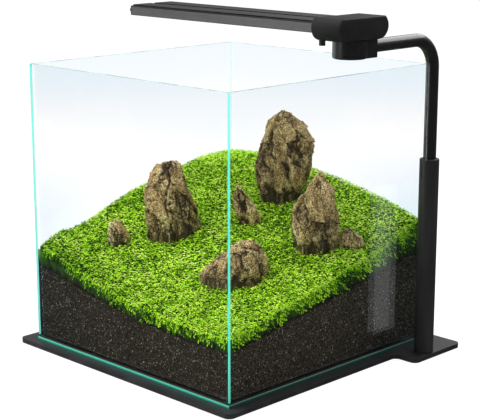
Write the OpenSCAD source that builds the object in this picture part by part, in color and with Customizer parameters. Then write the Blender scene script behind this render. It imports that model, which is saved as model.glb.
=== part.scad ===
// Planted glass cube on a steel base plate, with a telescopic post that carries a swivelling LED bar.
// Origin: centre of the tank's footprint, on the surface that the foam pad stands on.
// +X runs to the right along the front pane, +Y to the back, +Z up. All sizes are in millimetres.

/* [Tank] */
// Outer width of the glass tank, left to right
tank_w = 300; // [260:1:400]
// Outer depth of the glass tank, front to back
tank_d = 300; // [260:1:400]
// Overall height of the glass tank
tank_h = 304; // [280:1:400]
// Thickness of the four wall panes
wall_t = 4; // [3:0.5:8]
// Thickness of the bottom pane
bottom_t = 5; // [4:0.5:10]
// Ground chamfer on the upright outer edges
arris = 1.5; // [0.5:0.1:2.5]
// Glue line between two mitred panes
glue_gap = 0.2; // [0.1:0.05:0.5]
// Leg of the silicone bead in the inner corners
bead_leg = 2.5; // [1.5:0.5:5]

/* [Planting] */
// Soil depth in the front left corner
soil_front_left = 77; // [40:1:110]
// Soil depth in the front right corner
soil_front_right = 46; // [30:1:90]
// Soil depth in the back left corner
soil_back_left = 129; // [90:1:150]
// Soil depth in the back right corner
soil_back_right = 92; // [70:1:130]
// Rise of the crest in the middle of the back wall
crest_rise = 23; // [0:1:30]
// Rise of the shoulder in the middle of the left wall
shoulder_rise = 15; // [0:1:25]
// Sag in the middle of the front wall
front_sag = 10; // [0:1:15]
// Height of the plants along the front wall
carpet_front = 17; // [10:1:30]
// Height of the plants along the back wall
carpet_back = 32; // [15:1:50]
// Gap left around the soil, the plants and each stone
fill_gap = 0.3; // [0.2:0.1:1]

/* [Stones] */
// Height of the broad stone on the left, above the plants
stone_left_h = 79; // [60:1:90]
// Height of the small stone beside it
stone_left_small_h = 24; // [15:1:32]
// Height of the tall stone at the back
stone_back_tall_h = 93; // [70:1:100]
// Height of the slim stone in the middle
stone_slim_h = 41; // [30:1:50]
// Height of the pointed stone on the right
stone_right_h = 78; // [60:1:82]
// Height of the low stone beside it
stone_right_low_h = 18; // [12:1:19]
// Height of the broad stone in front
stone_front_h = 39; // [28:1:44]
// How deep each stone is bedded in the soil
stone_bed = 8; // [4:1:15]

/* [Base plate] */
// Thickness of the steel plate
plate_t = 5; // [4:0.5:8]
// Plate showing in front of the tank
margin_front = 12; // [8:1:30]
// Plate showing behind the tank
margin_back = 18; // [8:1:40]
// Plate showing to the left of the tank
margin_left = 18; // [8:1:30]
// Plate showing to the right of the tank
margin_right = 12; // [8:1:15]
// Radius of the plate's outer corners
plate_corner_r = 7; // [3:0.5:12]
// Radius of the hollow corner where the ear leaves the plate
ear_fillet_r = 6; // [3:0.5:12]
// Plate left outside the post on the ear
ear_land = 1.7; // [1:0.1:10]
// Distance from the post's axis to the ear's front edge
ear_front = 29; // [22:1:60]
// Thickness of the foam pad under the plate
pad_t = 1.5; // [1:0.5:4]
// Distance from the plate's edge to the pad's edge
pad_inset = 4; // [2:0.5:6]

/* [Post] */
// Distance from the plate's right edge out to the post's axis
post_out = 15; // [14:1:30]
// Distance from the plate's back edge in to the post's axis
post_in = 51; // [25:1:90]
// Outer diameter of the fixed sleeve
sleeve_d = 20.6; // [19:0.1:26]
// Wall of the fixed sleeve
sleeve_wall = 1.5; // [1:0.1:1.8]
// Height of the sleeve above the plate
sleeve_h = 210.5; // [180:0.5:230]
// Chamfer on the sleeve's top rim
sleeve_chamfer = 0.6; // [0.2:0.1:0.8]
// Height of the solid foot in the sleeve
foot_h = 14; // [11:1:25]
// Diameter of the screw that holds the foot to the plate
post_screw_d = 6; // [4:1:6]
// Diameter of the pin that stops the foot from turning
locating_pin_d = 3; // [2:0.5:3]
// Length of the friction bush in the sleeve's mouth
bush_len = 30; // [20:1:45]
// How far the lamp can be lowered
travel_down = 18; // [5:1:18]
// How far the lamp can be raised
travel_up = 80; // [20:1:90]

/* [Lamp tube] */
// Outer diameter of the bent tube
tube_d = 13.5; // [12:0.1:14]
// Wall of the bent tube
tube_wall = 1.2; // [0.8:0.1:2]
// Radius of the bend, on the tube's centre line
bend_r = 30; // [22:1:40]
// Height of the tube's level run above the tank's rim
arm_rise = 31.5; // [31:0.5:60]
// Swivel axis of the lamp, measured back from the tank's centre
lamp_y = -14; // [-40:1:10]
// Length of the plastic glide on the tube's lower end
glide_len = 23; // [15:1:40]
// Thickness of the glide's floor
glide_floor = 3; // [2:0.5:5]

/* [Swivel hub] */
// Diameter of the round hub
hub_d = 33.6; // [30:0.1:40]
// How far the hub reaches below the tube's centre line
hub_below = 9.5; // [9:0.1:14]
// Width of the block that grips the tube
block_w = 20; // [18:0.5:26]
// How far the block reaches below the tube's centre line
block_below = 10; // [9.5:0.1:14]
// Reach of the block from the swivel axis
block_reach = 29.5; // [25:0.5:40]
// Rounding of the hub's lower edge
hub_edge_r = 2; // [0.5:0.5:3]
// Diameter of the pivot bolt
pivot_d = 8; // [6:1:10]
// Diameter of the nut's counterbore
cbore_d = 20; // [19:0.5:22]
// Outer diameter of the friction washer
washer_d = 22; // [18:0.5:23]
// Thickness of the friction washer
washer_t = 1.2; // [0.8:0.1:1.5]

/* [Lamp head] */
// Length of the head along the LED bar
head_len = 38; // [34:0.5:50]
// Greatest width of the head, across the LED bar
head_w = 73; // [71:0.5:90]
// Height of the head
head_h = 22; // [21.5:0.5:24]
// Radius of the head's bellied sides
head_side_r = 12.5; // [12:0.5:14]
// Rounding of the edges of the head's two end faces
head_edge_r = 3; // [1:0.5:4]
// Height of the head's underside above the tube's centre line
head_above = 8.5; // [8.3:0.1:12]
// Thickness of the head's top cover
cover_t = 2.6; // [2:0.1:2.8]
// Side wall of the head
head_wall = 2.2; // [1.6:0.1:2.8]
// Floor of the head
head_floor = 2.5; // [2.4:0.1:3.5]
// Wall that carries the LED bar
bar_wall = 3.5; // [3:0.1:4]

/* [LED bar] */
// Width of the bar
bar_w = 65; // [62:0.5:66]
// Height of the bar at its edges
bar_h = 10; // [9:0.5:10.5]
// Height of the two raised pads along the top
pad_rise = 1.2; // [0.4:0.1:1.3]
// Width of the low strip along each long edge
edge_strip = 5; // [3:0.5:8]
// Width of the groove between the two pads
groove_w = 6; // [3:0.5:10]
// Rounding of the bar's long edges
bar_edge_r = 1.2; // [0.5:0.1:2]
// Reach of the bar from the head to its tip
bar_reach = 264; // [150:1:290]
// Height of the bar's underside above the head's underside
bar_lift = 7.3; // [7:0.1:7.5]
// Width of the light channel in the underside
channel_w = 50; // [40:1:51]
// Depth of the light channel
channel_h = 5.6; // [5:0.1:6]
// Width of the seat for the diffuser, beyond the channel on each side
seat_w = 2; // [1:0.5:2]
// Thickness of the diffuser
diffuser_t = 2; // [1.5:0.5:2.5]
// Thickness of the end cap
cap_t = 3.5; // [2.5:0.5:5]
// Rounding of the end cap's outer corners
cap_corner_r = 3; // [1:0.5:3]
// Spacing of the LED chips along the bar
led_pitch = 16; // [10:1:40]

/* [Switch and power inlet] */
// Diameter of the push button
button_d = 6.2; // [5:0.1:7]
// How far the button stands out of the head's underside
button_out = 4.4; // [3:0.1:7]
// Travel of the button
button_travel = 1.5; // [0.5:0.1:1.7]
// Button's distance from the head's bar side
button_x = 7.8; // [7.8:0.1:10]
// Button's distance from the head's front side
button_in = 9.3; // [9.2:0.1:12]
// Outer diameter of the power socket's barrel
socket_d = 8; // [7:0.5:9]
// Bore of the power socket
socket_bore = 5.6; // [5:0.1:6]
// Depth of the power socket's bore
socket_depth = 9; // [7:0.5:10]

/* [Hidden] */
$fn = 64;

// Overlap that makes a cut go clean through
cut = 0.5;
// Radial gap of a running fit, and of a tight fit between fixed pieces
slide_fit = 0.06;
tight_fit = 0.05;
// Gap between a turning piece and the face that it turns on
turn_gap = 0.15;

// Heights
tank_z = pad_t + plate_t;
rim_z = tank_z + tank_h;
arm_z = rim_z + arm_rise;
hub_z0 = arm_z - hub_below;
head_z0 = arm_z + head_above;
hub_z1 = head_z0 - 2 * turn_gap;

// Plate
plate_x0 = -tank_w / 2 - margin_left;
plate_x1 = tank_w / 2 + margin_right;
plate_y0 = -tank_d / 2 - margin_front;
plate_y1 = tank_d / 2 + margin_back;
post_x = plate_x1 + post_out;
post_y = plate_y1 - post_in;
ear_x1 = post_x + sleeve_d / 2 + ear_land;
ear_y0 = post_y - ear_front;
ear_root = 20;

// Foot of the post
screw_head_h = post_screw_d * 0.55;
screw_head_d = post_screw_d * 2;
screw_grip = foot_h - 4;
pin_offset = (post_screw_d + locating_pin_d) / 2 + 1.3;
pin_in_plate = plate_t - 2;
pin_in_foot = foot_h - 4;

// Post and tube
sleeve_id = sleeve_d - 2 * sleeve_wall;
stop_gap = 0.3;
glide_z0 = tank_z + foot_h + travel_down + stop_gap;
tube_z0 = glide_z0 + glide_floor;
bend_y = post_y - bend_r;
bend_z = arm_z - bend_r;
tube_end_y = lamp_y + cbore_d / 2 + 1.5;

// Inside of the hub
hub_cap_t = 1.5;
hub_cap_inset = 0.3;
nut_h = 4.8;
nut_d = pivot_d * 1.85;
spring_washer_t = 1.5;
bolt_proud = 0.5;
cbore_h = hub_cap_inset + hub_cap_t + bolt_proud + 0.3 + nut_h + spring_washer_t + turn_gap;
clamp_screw_d = 4;
clamp_screw_y = lamp_y + (hub_d / 2 + block_reach) / 2;

// Lamp head
head_x0 = post_x - head_len / 2;
head_x1 = post_x + head_len / 2;
head_split = head_h - cover_t;
side_centre = head_w / 2 - head_side_r;
inner_r = head_side_r - head_wall;
lip_t = 1.4;
lip_h = 2;
lip_gap = 0.2;
lip_half = side_centre + sqrt(pow(inner_r, 2) - pow(head_split - head_side_r, 2)) - lip_gap;
boss_d = 6;
boss_x = head_x1 - head_wall - lip_gap - lip_t - boss_d / 2 - 0.4;
boss_y = side_centre - 4;
cover_screw_d = 2.4;
cover_screw_head_d = 5;
cover_screw_head_h = 1.6;
cover_screw_bite = cover_t - 0.8;
bolt_head_d = pivot_d * 1.75;
bolt_head_h = 4;

// LED bar
bar_recess = 1.5;
bar_fit = 0.15;
bar_x1 = head_x0 + bar_recess;
bar_x0 = head_x0 - bar_reach + cap_t;
bar_len = bar_x1 - bar_x0;
bar_z0 = head_z0 + bar_lift;
port_y = (bar_w / 2 + channel_w / 2 + seat_w) / 2;
port_z = 5.6;
port_d = 2.6;
bar_screw_d = 2.5;
bar_screw_head_d = 4.8;
bar_screw_head_h = 1.2;
bar_screw_bite = 8;
board_t = 1.2;
led_size = [3.5, 2.8, 0.8];
led_row_y = 10;

// Driver board and switch
seat_z = 5.5;
button_flange_t = 1;
button_flange_d = button_d + 1.6;
switch_size = 6;
switch_z0 = seat_z + button_flange_t + button_travel + 0.2;
driver_z = switch_z0 + 3.5;
driver_t = 1.6;
driver_x0 = head_x0 + bar_wall + 1.5;
driver_x1 = boss_x - boss_d / 2 - 0.5;
driver_side_gap = 1.3;
driver_y0 = -head_w / 2 + head_wall + driver_side_gap;
driver_y1 = head_w / 2 - 16.5;
standoff_in = 6;
standoff_out = 13;
button_pos = [head_x0 + button_x, lamp_y - head_w / 2 + button_in];
socket_flange_d = socket_d + 3;
socket_flange_t = 1.5;
socket_wall = 3;
socket_pin_d = 2;

// Hill: soil depth and plant height over the tank's inside, with u and v running 0 to 1
inner_w = tank_w - 2 * wall_t;
inner_d = tank_d - 2 * wall_t;
hill_cells = 20;
hill_overlap = 0.02;
function soil_top(u, v) =
    soil_front_left * (1 - u) * (1 - v) + soil_front_right * u * (1 - v)
    + soil_back_left * (1 - u) * v + soil_back_right * u * v
    + crest_rise * 4 * u * (1 - u) * v * v
    + shoulder_rise * (1 - u) * 4 * v * (1 - v)
    - front_sag * 4 * u * (1 - u) * (1 - v);
function carpet_h(v) = carpet_front + (carpet_back - carpet_front) * v;

// Stones: [u, v, height above the plants, depth, seed, outline]. The outline holds, for shares of the
// height, the reach to the left and to the right of the centre, along the tank's diagonal. Depth and
// reach are shares of the height too. A reach below 0 means that the stone leans away from that side.
stone_left_form = [0.320, 0.370, stone_left_h, 0.28, 11,
    [[0, 0.37, 0.38], [0.3, 0.39, 0.34], [0.6, 0.34, 0.23], [0.85, 0.24, 0.15], [1, 0.09, 0.09]]];
stone_left_small_form = [0.208, 0.211, stone_left_small_h, 0.42, 5,
    [[0, 0.5, 0.42], [0.3, 0.5, 0.46], [0.6, 0.5, 0.29], [0.85, 0.42, 0.08], [1, 0.21, 0]]];
stone_back_tall_form = [0.501, 0.791, stone_back_tall_h, 0.26, 23,
    [[0, 0.27, 0.18], [0.15, 0.32, 0.26], [0.35, 0.34, 0.33], [0.6, 0.28, 0.37], [0.85, 0.18, 0.23],
    [1, 0.08, 0.05]]];
stone_slim_form = [0.512, 0.572, stone_slim_h, 0.22, 31,
    [[0, 0.2, 0.37], [0.2, 0.29, 0.37], [0.5, 0.34, 0.22], [0.75, 0.34, 0], [1, 0.27, -0.2]]];
stone_right_form = [0.816, 0.614, stone_right_h, 0.23, 47,
    [[0, 0.27, 0.31], [0.2, 0.33, 0.31], [0.45, 0.31, 0.31], [0.7, 0.15, 0.24], [0.9, 0.01, 0.15],
    [1, -0.06, 0.12]]];
stone_right_low_form = [0.922, 0.710, stone_right_low_h, 0.5, 59,
    [[0, 0.72, 0.67], [0.4, 0.72, 0.56], [0.8, 0.67, 0.06], [1, 0.56, -0.22]]];
stone_front_form = [0.711, 0.295, stone_front_h, 0.62, 71,
    [[0, 0.79, 0.95], [0.3, 0.59, 0.97], [0.6, 0.28, 0.92], [0.85, -0.08, 0.79], [1, -0.33, 0.54]]];
STONE_FORMS = [
    stone_left_form, stone_left_small_form, stone_back_tall_form, stone_slim_form,
    stone_right_form, stone_right_low_form, stone_front_form
];
stone_sides = 18;
stone_rings = 11;
stone_turn = 45;

// ---------------------------------------------------------------- shared shapes

// A rectangle with rounded corners, from its low and high corner
module round_rect(low, high, r) {
    translate([low[0] + r, low[1]]) square([high[0] - low[0] - 2 * r, high[1] - low[1]]);
    translate([low[0], low[1] + r]) square([high[0] - low[0], high[1] - low[1] - 2 * r]);
    for (x = [low[0] + r, high[0] - r], y = [low[1] + r, high[1] - r]) translate([x, y]) circle(r);
}

// Turns an outline in Y and Z into a bar that runs along +X
module along_x(x0, length) {
    translate([x0, 0, 0]) rotate([90, 0, 90]) linear_extrude(length) children();
}

// The plate's outline with its ear, drawn in from the edge by inset
module plate_outline(inset) {
    r = plate_corner_r - inset / 2;
    hollow_r = ear_fillet_r + inset;
    edge_x = plate_x1 - inset;
    edge_y = ear_y0 + inset;
    round_rect([plate_x0 + inset, plate_y0 + inset], [edge_x, plate_y1 - inset], r);
    round_rect([plate_x1 - ear_root, edge_y], [ear_x1 - inset, plate_y1 - inset], r);
    difference() {
        translate([edge_x - 1, edge_y - hollow_r]) square([hollow_r + 1, hollow_r + 1]);
        translate([edge_x + hollow_r, edge_y - hollow_r]) circle(hollow_r);
    }
}

// ---------------------------------------------------------------- base and post

module foam_pad() {
    color("#2b2b2d") linear_extrude(pad_t) plate_outline(pad_inset);
}

module base_plate() {
    color("#3a3b3d") difference() {
        translate([0, 0, pad_t]) linear_extrude(plate_t) plate_outline(0);
        translate([post_x, post_y, pad_t - cut]) cylinder(d = post_screw_d + 0.6, h = plate_t + 2 * cut);
        translate([post_x, post_y, pad_t])
            cylinder(d1 = screw_head_d + 0.6, d2 = post_screw_d + 0.6, h = screw_head_h + 0.2);
        translate([post_x + pin_offset, post_y, tank_z - pin_in_plate])
            cylinder(d = locating_pin_d + 2 * tight_fit, h = pin_in_plate + cut);
    }
}

module post_screw() {
    color("#8d8f92") translate([post_x, post_y, pad_t]) {
        cylinder(d1 = screw_head_d, d2 = post_screw_d, h = screw_head_h);
        translate([0, 0, screw_head_h / 2])
            cylinder(d = post_screw_d, h = plate_t + screw_grip - screw_head_h / 2);
    }
}

module locating_pin() {
    color("#8d8f92") translate([post_x + pin_offset, post_y, tank_z - pin_in_plate])
        cylinder(d = locating_pin_d, h = pin_in_plate + pin_in_foot);
}

module sleeve_foot() {
    color("#77797c") difference() {
        translate([post_x, post_y, tank_z]) cylinder(d = sleeve_id - 2 * tight_fit, h = foot_h);
        translate([post_x, post_y, tank_z - cut])
            cylinder(d = post_screw_d + 2 * tight_fit, h = screw_grip + 1 + cut);
        translate([post_x + pin_offset, post_y, tank_z - cut])
            cylinder(d = locating_pin_d + 2 * tight_fit, h = pin_in_foot + 0.5 + cut);
    }
}

module post_sleeve() {
    r = sleeve_d / 2;
    color("#242527") translate([post_x, post_y, tank_z]) rotate_extrude() polygon([
        [sleeve_id / 2, 0], [r, 0], [r, sleeve_h - sleeve_chamfer], [r - sleeve_chamfer, sleeve_h],
        [sleeve_id / 2, sleeve_h]
    ]);
}

module sleeve_bush() {
    color("#1d1d1f") translate([post_x, post_y, tank_z + sleeve_h - bush_len]) difference() {
        cylinder(d = sleeve_id - 2 * tight_fit, h = bush_len);
        translate([0, 0, -cut]) cylinder(d = tube_d + 2 * slide_fit, h = bush_len + 2 * cut);
    }
}

// ---------------------------------------------------------------- glass

module bottom_pane() {
    color("#9fd8cf", 0.5) translate([-tank_w / 2, -tank_d / 2, tank_z]) cube([tank_w, tank_d, bottom_t]);
}

// One wall pane, mitred at both ends, with its outer face on Y = 0 and its inside towards +Y
module wall_pane(length) {
    mitre = glue_gap / 2 * sqrt(2);
    half = length / 2;
    pane_h = tank_h - bottom_t;
    translate([0, 0, tank_z + bottom_t]) linear_extrude(pane_h) polygon([
        [-half + arris, 0], [half - arris, 0], [half - arris / 2 - mitre, arris / 2],
        [half - wall_t - mitre, wall_t], [-half + wall_t + mitre, wall_t],
        [-half + arris / 2 + mitre, arris / 2]
    ]);
}

module front_pane() {
    color("#b9e6df", 0.3) translate([0, -tank_d / 2, 0]) wall_pane(tank_w);
}

module back_pane() {
    color("#b9e6df", 0.3) translate([0, tank_d / 2, 0]) rotate(180) wall_pane(tank_w);
}

module left_pane() {
    color("#b9e6df", 0.3) translate([-tank_w / 2, 0, 0]) rotate(-90) wall_pane(tank_d);
}

module right_pane() {
    color("#b9e6df", 0.3) translate([tank_w / 2, 0, 0]) rotate(90) wall_pane(tank_d);
}

// A three-cornered bead, its right angle on the origin, along +Z
module bead(length) {
    linear_extrude(length) polygon([[0, 0], [bead_leg, 0], [0, bead_leg]]);
}

module silicone_beads() {
    floor_z = tank_z + bottom_t;
    half = [inner_w / 2, inner_d / 2];
    run = [inner_w - 2 * bead_leg, inner_d - 2 * bead_leg];
    color("#d8e4e2") {
        for (corner = [0:3]) {
            x = (corner == 0 || corner == 3) ? -half[0] : half[0];
            y = corner < 2 ? -half[1] : half[1];
            translate([x, y, floor_z]) rotate(90 * corner) bead(tank_h - bottom_t);
        }
        for (side = [0, 180]) rotate(side) {
            translate([-run[0] / 2, -half[1], floor_z]) rotate([90, 0, 90]) bead(run[0]);
            translate([-half[0], run[1] / 2, floor_z]) rotate([90, 0, 0]) bead(run[1]);
        }
    }
}

// ---------------------------------------------------------------- soil, plants and stones

// The tank's inside, a little clear of the glass, with its edges cut back for the beads
module fill_outline(inset) {
    w = inner_w / 2 - inset;
    d = inner_d / 2 - inset;
    c = bead_leg;
    polygon([
        [-w + c, -d], [w - c, -d], [w, -d + c], [w, d - c],
        [w - c, d], [-w + c, d], [-w, d - c], [-w, -d + c]
    ]);
}

module fill_space() {
    rise = bead_leg + fill_gap;
    hull() {
        linear_extrude(0.1) fill_outline(fill_gap + rise);
        translate([0, 0, rise]) linear_extrude(tank_h - bottom_t - rise) fill_outline(fill_gap);
    }
}

function hill_uv(k) = -hill_overlap + (1 + 2 * hill_overlap) * k / hill_cells;

// A slab under the plants' surface (top = 1) or the soil's (top = 0), down to a base.
// The base is flat at 0, or follows the soil (base = 1) with a small gap.
function hill_level(top, u, v) = soil_top(u, v) + (top == 1 ? carpet_h(v) : 0);
function hill_base(base, u, v) = base == 1 ? soil_top(u, v) + fill_gap : -1;

module hill_slab(top, base) {
    n = hill_cells + 1;
    grid = [for (j = [0:hill_cells], i = [0:hill_cells]) [hill_uv(i), hill_uv(j)]];
    place = function(g, z) [(g[0] - 0.5) * inner_w, (g[1] - 0.5) * inner_d, z];
    upper = [for (g = grid) place(g, hill_level(top, g[0], g[1]))];
    lower = [for (g = grid) place(g, hill_base(base, g[0], g[1]))];
    s = n * n;
    cells = [for (j = [0:hill_cells - 1], i = [0:hill_cells - 1]) j * n + i];
    rim = concat(
        [for (i = [0:hill_cells - 1]) i],
        [for (j = [0:hill_cells - 1]) j * n + hill_cells],
        [for (i = [hill_cells:-1:1]) hill_cells * n + i],
        [for (j = [hill_cells:-1:1]) j * n]
    );
    m = len(rim);
    polyhedron(
        points = concat(upper, lower),
        faces = concat(
            [for (c = cells) [c, c + n, c + n + 1]],
            [for (c = cells) [c, c + n + 1, c + 1]],
            [for (c = cells) [s + c, s + c + n + 1, s + c + n]],
            [for (c = cells) [s + c, s + c + 1, s + c + n + 1]],
            [for (k = [0:m - 1]) [rim[k], rim[(k + 1) % m], s + rim[(k + 1) % m]]],
            [for (k = [0:m - 1]) [rim[k], s + rim[(k + 1) % m], s + rim[k]]]
        ),
        convexity = 6
    );
}

// How the stone's depth narrows towards the top, and its ridges at the angle a
function stone_depth(q) = max(0.2, pow(1 - pow(q, 2.6), 0.6));
function stone_ridge(a, seed) =
    0.05 * sin(3 * a + 40 * seed) + 0.035 * sin(5 * a - 25 * seed) + 0.02 * sin(9 * a + 10 * seed);

// A craggy stone, bedded in the soil; grow widens it, to cut its bed
module stone(form, grow = 0) {
    u = form[0];
    v = form[1];
    height = form[2];
    seed = form[4];
    lefts = [for (p = form[5]) [p[0], p[1] * height]];
    rights = [for (p = form[5]) [p[0], p[2] * height]];
    top_shift = (lookup(1, rights) - lookup(1, lefts)) / 2;
    grain = rands(-0.03, 0.03, stone_sides * (stone_rings + 1), seed);
    shares = concat([0], [for (j = [0:stone_rings - 2]) j / (stone_rings - 2)]);
    points = [for (j = [0:stone_rings - 1], i = [0:stone_sides - 1])
        let (
            a = 360 * i / stone_sides,
            q = shares[j],
            left = lookup(q, lefts),
            right = lookup(q, rights),
            rough = 1 + stone_ridge(a + 25 * q, seed) + grain[max(j, 1) * stone_sides + i],
            x = (right - left) / 2 + ((right + left) / 2 * rough + grow) * cos(a),
            y = (form[3] * height * stone_depth(q) * rough + grow) * sin(a)
        ) [x, y, j == 0 ? -carpet_h(v) - stone_bed : q * height]
    ];
    last = (stone_rings - 1) * stone_sides;
    translate([(u - 0.5) * inner_w, (v - 0.5) * inner_d, tank_z + bottom_t + hill_level(1, u, v)])
        rotate(stone_turn)
        polyhedron(
            points = concat(points, [[top_shift, 0, height + 0.5 + grow]]),
            faces = concat(
                [[for (i = [0:stone_sides - 1]) i]],
                [for (j = [0:stone_rings - 2], i = [0:stone_sides - 1])
                    let (p = j * stone_sides + i, r = j * stone_sides + (i + 1) % stone_sides)
                    [p, p + stone_sides, r + stone_sides]],
                [for (j = [0:stone_rings - 2], i = [0:stone_sides - 1])
                    let (p = j * stone_sides + i, r = j * stone_sides + (i + 1) % stone_sides)
                    [p, r + stone_sides, r]],
                [for (i = [0:stone_sides - 1]) [last + i, last + stone_sides, last + (i + 1) % stone_sides]]
            ),
            convexity = 4
        );
}

module stone_beds() {
    for (form = STONE_FORMS) stone(form, fill_gap);
}

module soil() {
    color("#2f2c28") difference() {
        intersection() {
            translate([0, 0, tank_z + bottom_t]) hill_slab(0, 0);
            translate([0, 0, tank_z + bottom_t]) fill_space();
        }
        stone_beds();
    }
}

module plant_carpet() {
    color("#6fae1f") difference() {
        intersection() {
            translate([0, 0, tank_z + bottom_t]) hill_slab(1, 1);
            translate([0, 0, tank_z + bottom_t]) fill_space();
        }
        stone_beds();
    }
}

module stone_left() { color("#8a7456") stone(stone_left_form); }
module stone_left_small() { color("#8f785a") stone(stone_left_small_form); }
module stone_back_tall() { color("#857052") stone(stone_back_tall_form); }
module stone_slim() { color("#8a7456") stone(stone_slim_form); }
module stone_right() { color("#877254") stone(stone_right_form); }
module stone_right_low() { color("#8a7456") stone(stone_right_low_form); }
module stone_front() { color("#8f7a5c") stone(stone_front_form); }

// ---------------------------------------------------------------- sliding and swinging arm

module tube_glide() {
    color("#e0ddd4") translate([post_x, post_y, glide_z0]) difference() {
        cylinder(d = sleeve_id - 2 * slide_fit, h = glide_len);
        translate([0, 0, glide_floor]) cylinder(d = tube_d + 2 * slide_fit, h = glide_len);
    }
}

// The tube's path swept with one diameter; over lengthens both open ends
module tube_path(d, over) {
    translate([post_x, post_y, tube_z0 - over]) cylinder(d = d, h = bend_z - tube_z0 + over);
    translate([post_x, bend_y, bend_z]) rotate([90, 0, 90]) rotate_extrude(angle = 90)
        translate([bend_r, 0]) circle(d = d);
    translate([post_x, tube_end_y - over, arm_z]) rotate([-90, 0, 0])
        cylinder(d = d, h = bend_y - tube_end_y + over);
}

module arm_tube() {
    color("#2c2d2f") difference() {
        tube_path(tube_d, 0);
        tube_path(tube_d - 2 * tube_wall, cut);
    }
}

module swivel_hub() {
    r = hub_d / 2;
    h = hub_z1 - hub_z0;
    washer_seat = washer_t - turn_gap;
    color("#1f2022") difference() {
        union() {
            translate([post_x, lamp_y, hub_z0]) rotate_extrude() {
                square([r - hub_edge_r, h]);
                translate([0, hub_edge_r]) square([r, h - hub_edge_r]);
                translate([r - hub_edge_r, hub_edge_r]) circle(hub_edge_r);
            }
            translate([post_x - block_w / 2, lamp_y, arm_z - block_below])
                cube([block_w, block_reach, hub_z1 - arm_z + block_below]);
        }
        translate([post_x, lamp_y, arm_z - block_below - cut])
            cylinder(d = cbore_d, h = cbore_h + block_below - hub_below + cut);
        translate([post_x, lamp_y, hub_z0]) cylinder(d = pivot_d + 2 * slide_fit, h = h + cut);
        translate([post_x, lamp_y, hub_z1 - washer_seat])
            cylinder(d = washer_d + 4 * tight_fit, h = washer_seat + cut);
        translate([post_x, tube_end_y - tight_fit, arm_z]) rotate([-90, 0, 0])
            cylinder(d = tube_d + 2 * tight_fit, h = block_reach);
        translate([post_x, clamp_screw_y, arm_z - block_below - cut])
            cylinder(d = clamp_screw_d + 2 * tight_fit, h = block_below);
    }
}

module clamp_screw() {
    z0 = arm_z - block_below + 0.2;
    z1 = arm_z - tube_d / 2 - tight_fit;
    color("#77797c") translate([post_x, clamp_screw_y, z0]) difference() {
        cylinder(d = clamp_screw_d, h = z1 - z0);
        translate([0, 0, -cut]) cylinder(d = clamp_screw_d / 2, h = 1.2 + cut, $fn = 6);
    }
}

module friction_washer() {
    color("#d9d6cc") translate([post_x, lamp_y, head_z0 - turn_gap - washer_t]) difference() {
        cylinder(d = washer_d, h = washer_t);
        translate([0, 0, -cut]) cylinder(d = pivot_d + 2 * turn_gap, h = washer_t + 2 * cut);
    }
}

module hub_cap() {
    color("#1f2022") translate([post_x, lamp_y, hub_z0 + hub_cap_inset])
        cylinder(d = cbore_d - 2 * tight_fit, h = hub_cap_t);
}

// ---------------------------------------------------------------- lamp head

spring_washer_z0 = hub_z0 + cbore_h - turn_gap - spring_washer_t;
nut_z0 = spring_washer_z0 - nut_h;

module pivot_bolt() {
    color("#8d8f92") translate([post_x, lamp_y, 0]) {
        translate([0, 0, nut_z0 - bolt_proud])
            cylinder(d = pivot_d, h = head_z0 + head_floor - nut_z0 + bolt_proud);
        translate([0, 0, head_z0 + head_floor]) difference() {
            cylinder(d = bolt_head_d, h = bolt_head_h);
            translate([0, 0, bolt_head_h / 2]) cylinder(d = pivot_d * 0.75, h = bolt_head_h, $fn = 6);
        }
    }
}

module spring_washer() {
    color("#9a9c9f") translate([post_x, lamp_y, spring_washer_z0]) difference() {
        cylinder(d = nut_d, h = spring_washer_t);
        translate([0, 0, -cut]) cylinder(d = pivot_d + 2 * tight_fit, h = spring_washer_t + 2 * cut);
    }
}

module pivot_nut() {
    color("#9a9c9f") translate([post_x, lamp_y, nut_z0]) difference() {
        cylinder(d = nut_d, h = nut_h, $fn = 6);
        translate([0, 0, -cut]) cylinder(d = pivot_d + 2 * tight_fit, h = nut_h + 2 * cut);
    }
}

// Cross-section of the head: a flat underside, bellied sides and a flat top, drawn in by inset
module head_section(inset) {
    r = head_side_r - inset;
    intersection() {
        union() {
            translate([-side_centre, inset]) square([2 * side_centre, 2 * r]);
            for (s = [-1, 1]) translate([s * side_centre, head_side_r]) circle(r, $fn = 48);
        }
        translate([-head_w / 2, 0]) square([head_w, head_h - inset / 3]);
    }
}

// The head's outer body, with the edges of both end faces rounded in three steps
module head_form() {
    steps = 3;
    slice = 0.02;
    translate([0, lamp_y, head_z0]) hull() for (k = [0:steps]) {
        inset = head_edge_r * (1 - cos(90 * k / steps));
        x = head_edge_r * (1 - sin(90 * k / steps));
        along_x(head_x0 + x, head_len - 2 * x) head_section(inset);
    }
}

module head_cavity() {
    translate([0, lamp_y, head_z0]) along_x(head_x0 + bar_wall, head_len - bar_wall - head_wall)
        intersection() {
            head_section(head_wall);
            translate([-head_w / 2, head_floor]) square([head_w, head_h]);
        }
}

// Outline of the LED bar's end, in Y and Z; grow widens it, to cut the seat that it stands in
module bar_outline(grow = 0) {
    pad_w = (bar_w - 2 * edge_strip - groove_w) / 2;
    round_rect([-bar_w / 2 - grow, -grow], [bar_w / 2 + grow, bar_h + grow], bar_edge_r);
    for (s = [-1, 1]) translate([s * (groove_w + pad_w) / 2, bar_h / 2])
        translate([-pad_w / 2 - grow, 0]) square([pad_w + 2 * grow, bar_h / 2 + pad_rise + grow]);
}

// A countersunk screw along +X, its head's face on the origin
module bar_screw(grow = 0) {
    rotate([0, 90, 0]) {
        cylinder(d1 = bar_screw_head_d + 2 * grow, d2 = bar_screw_d + 2 * grow, h = bar_screw_head_h);
        cylinder(d = bar_screw_d + 2 * grow, h = bar_screw_head_h + bar_screw_bite);
    }
}

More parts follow.
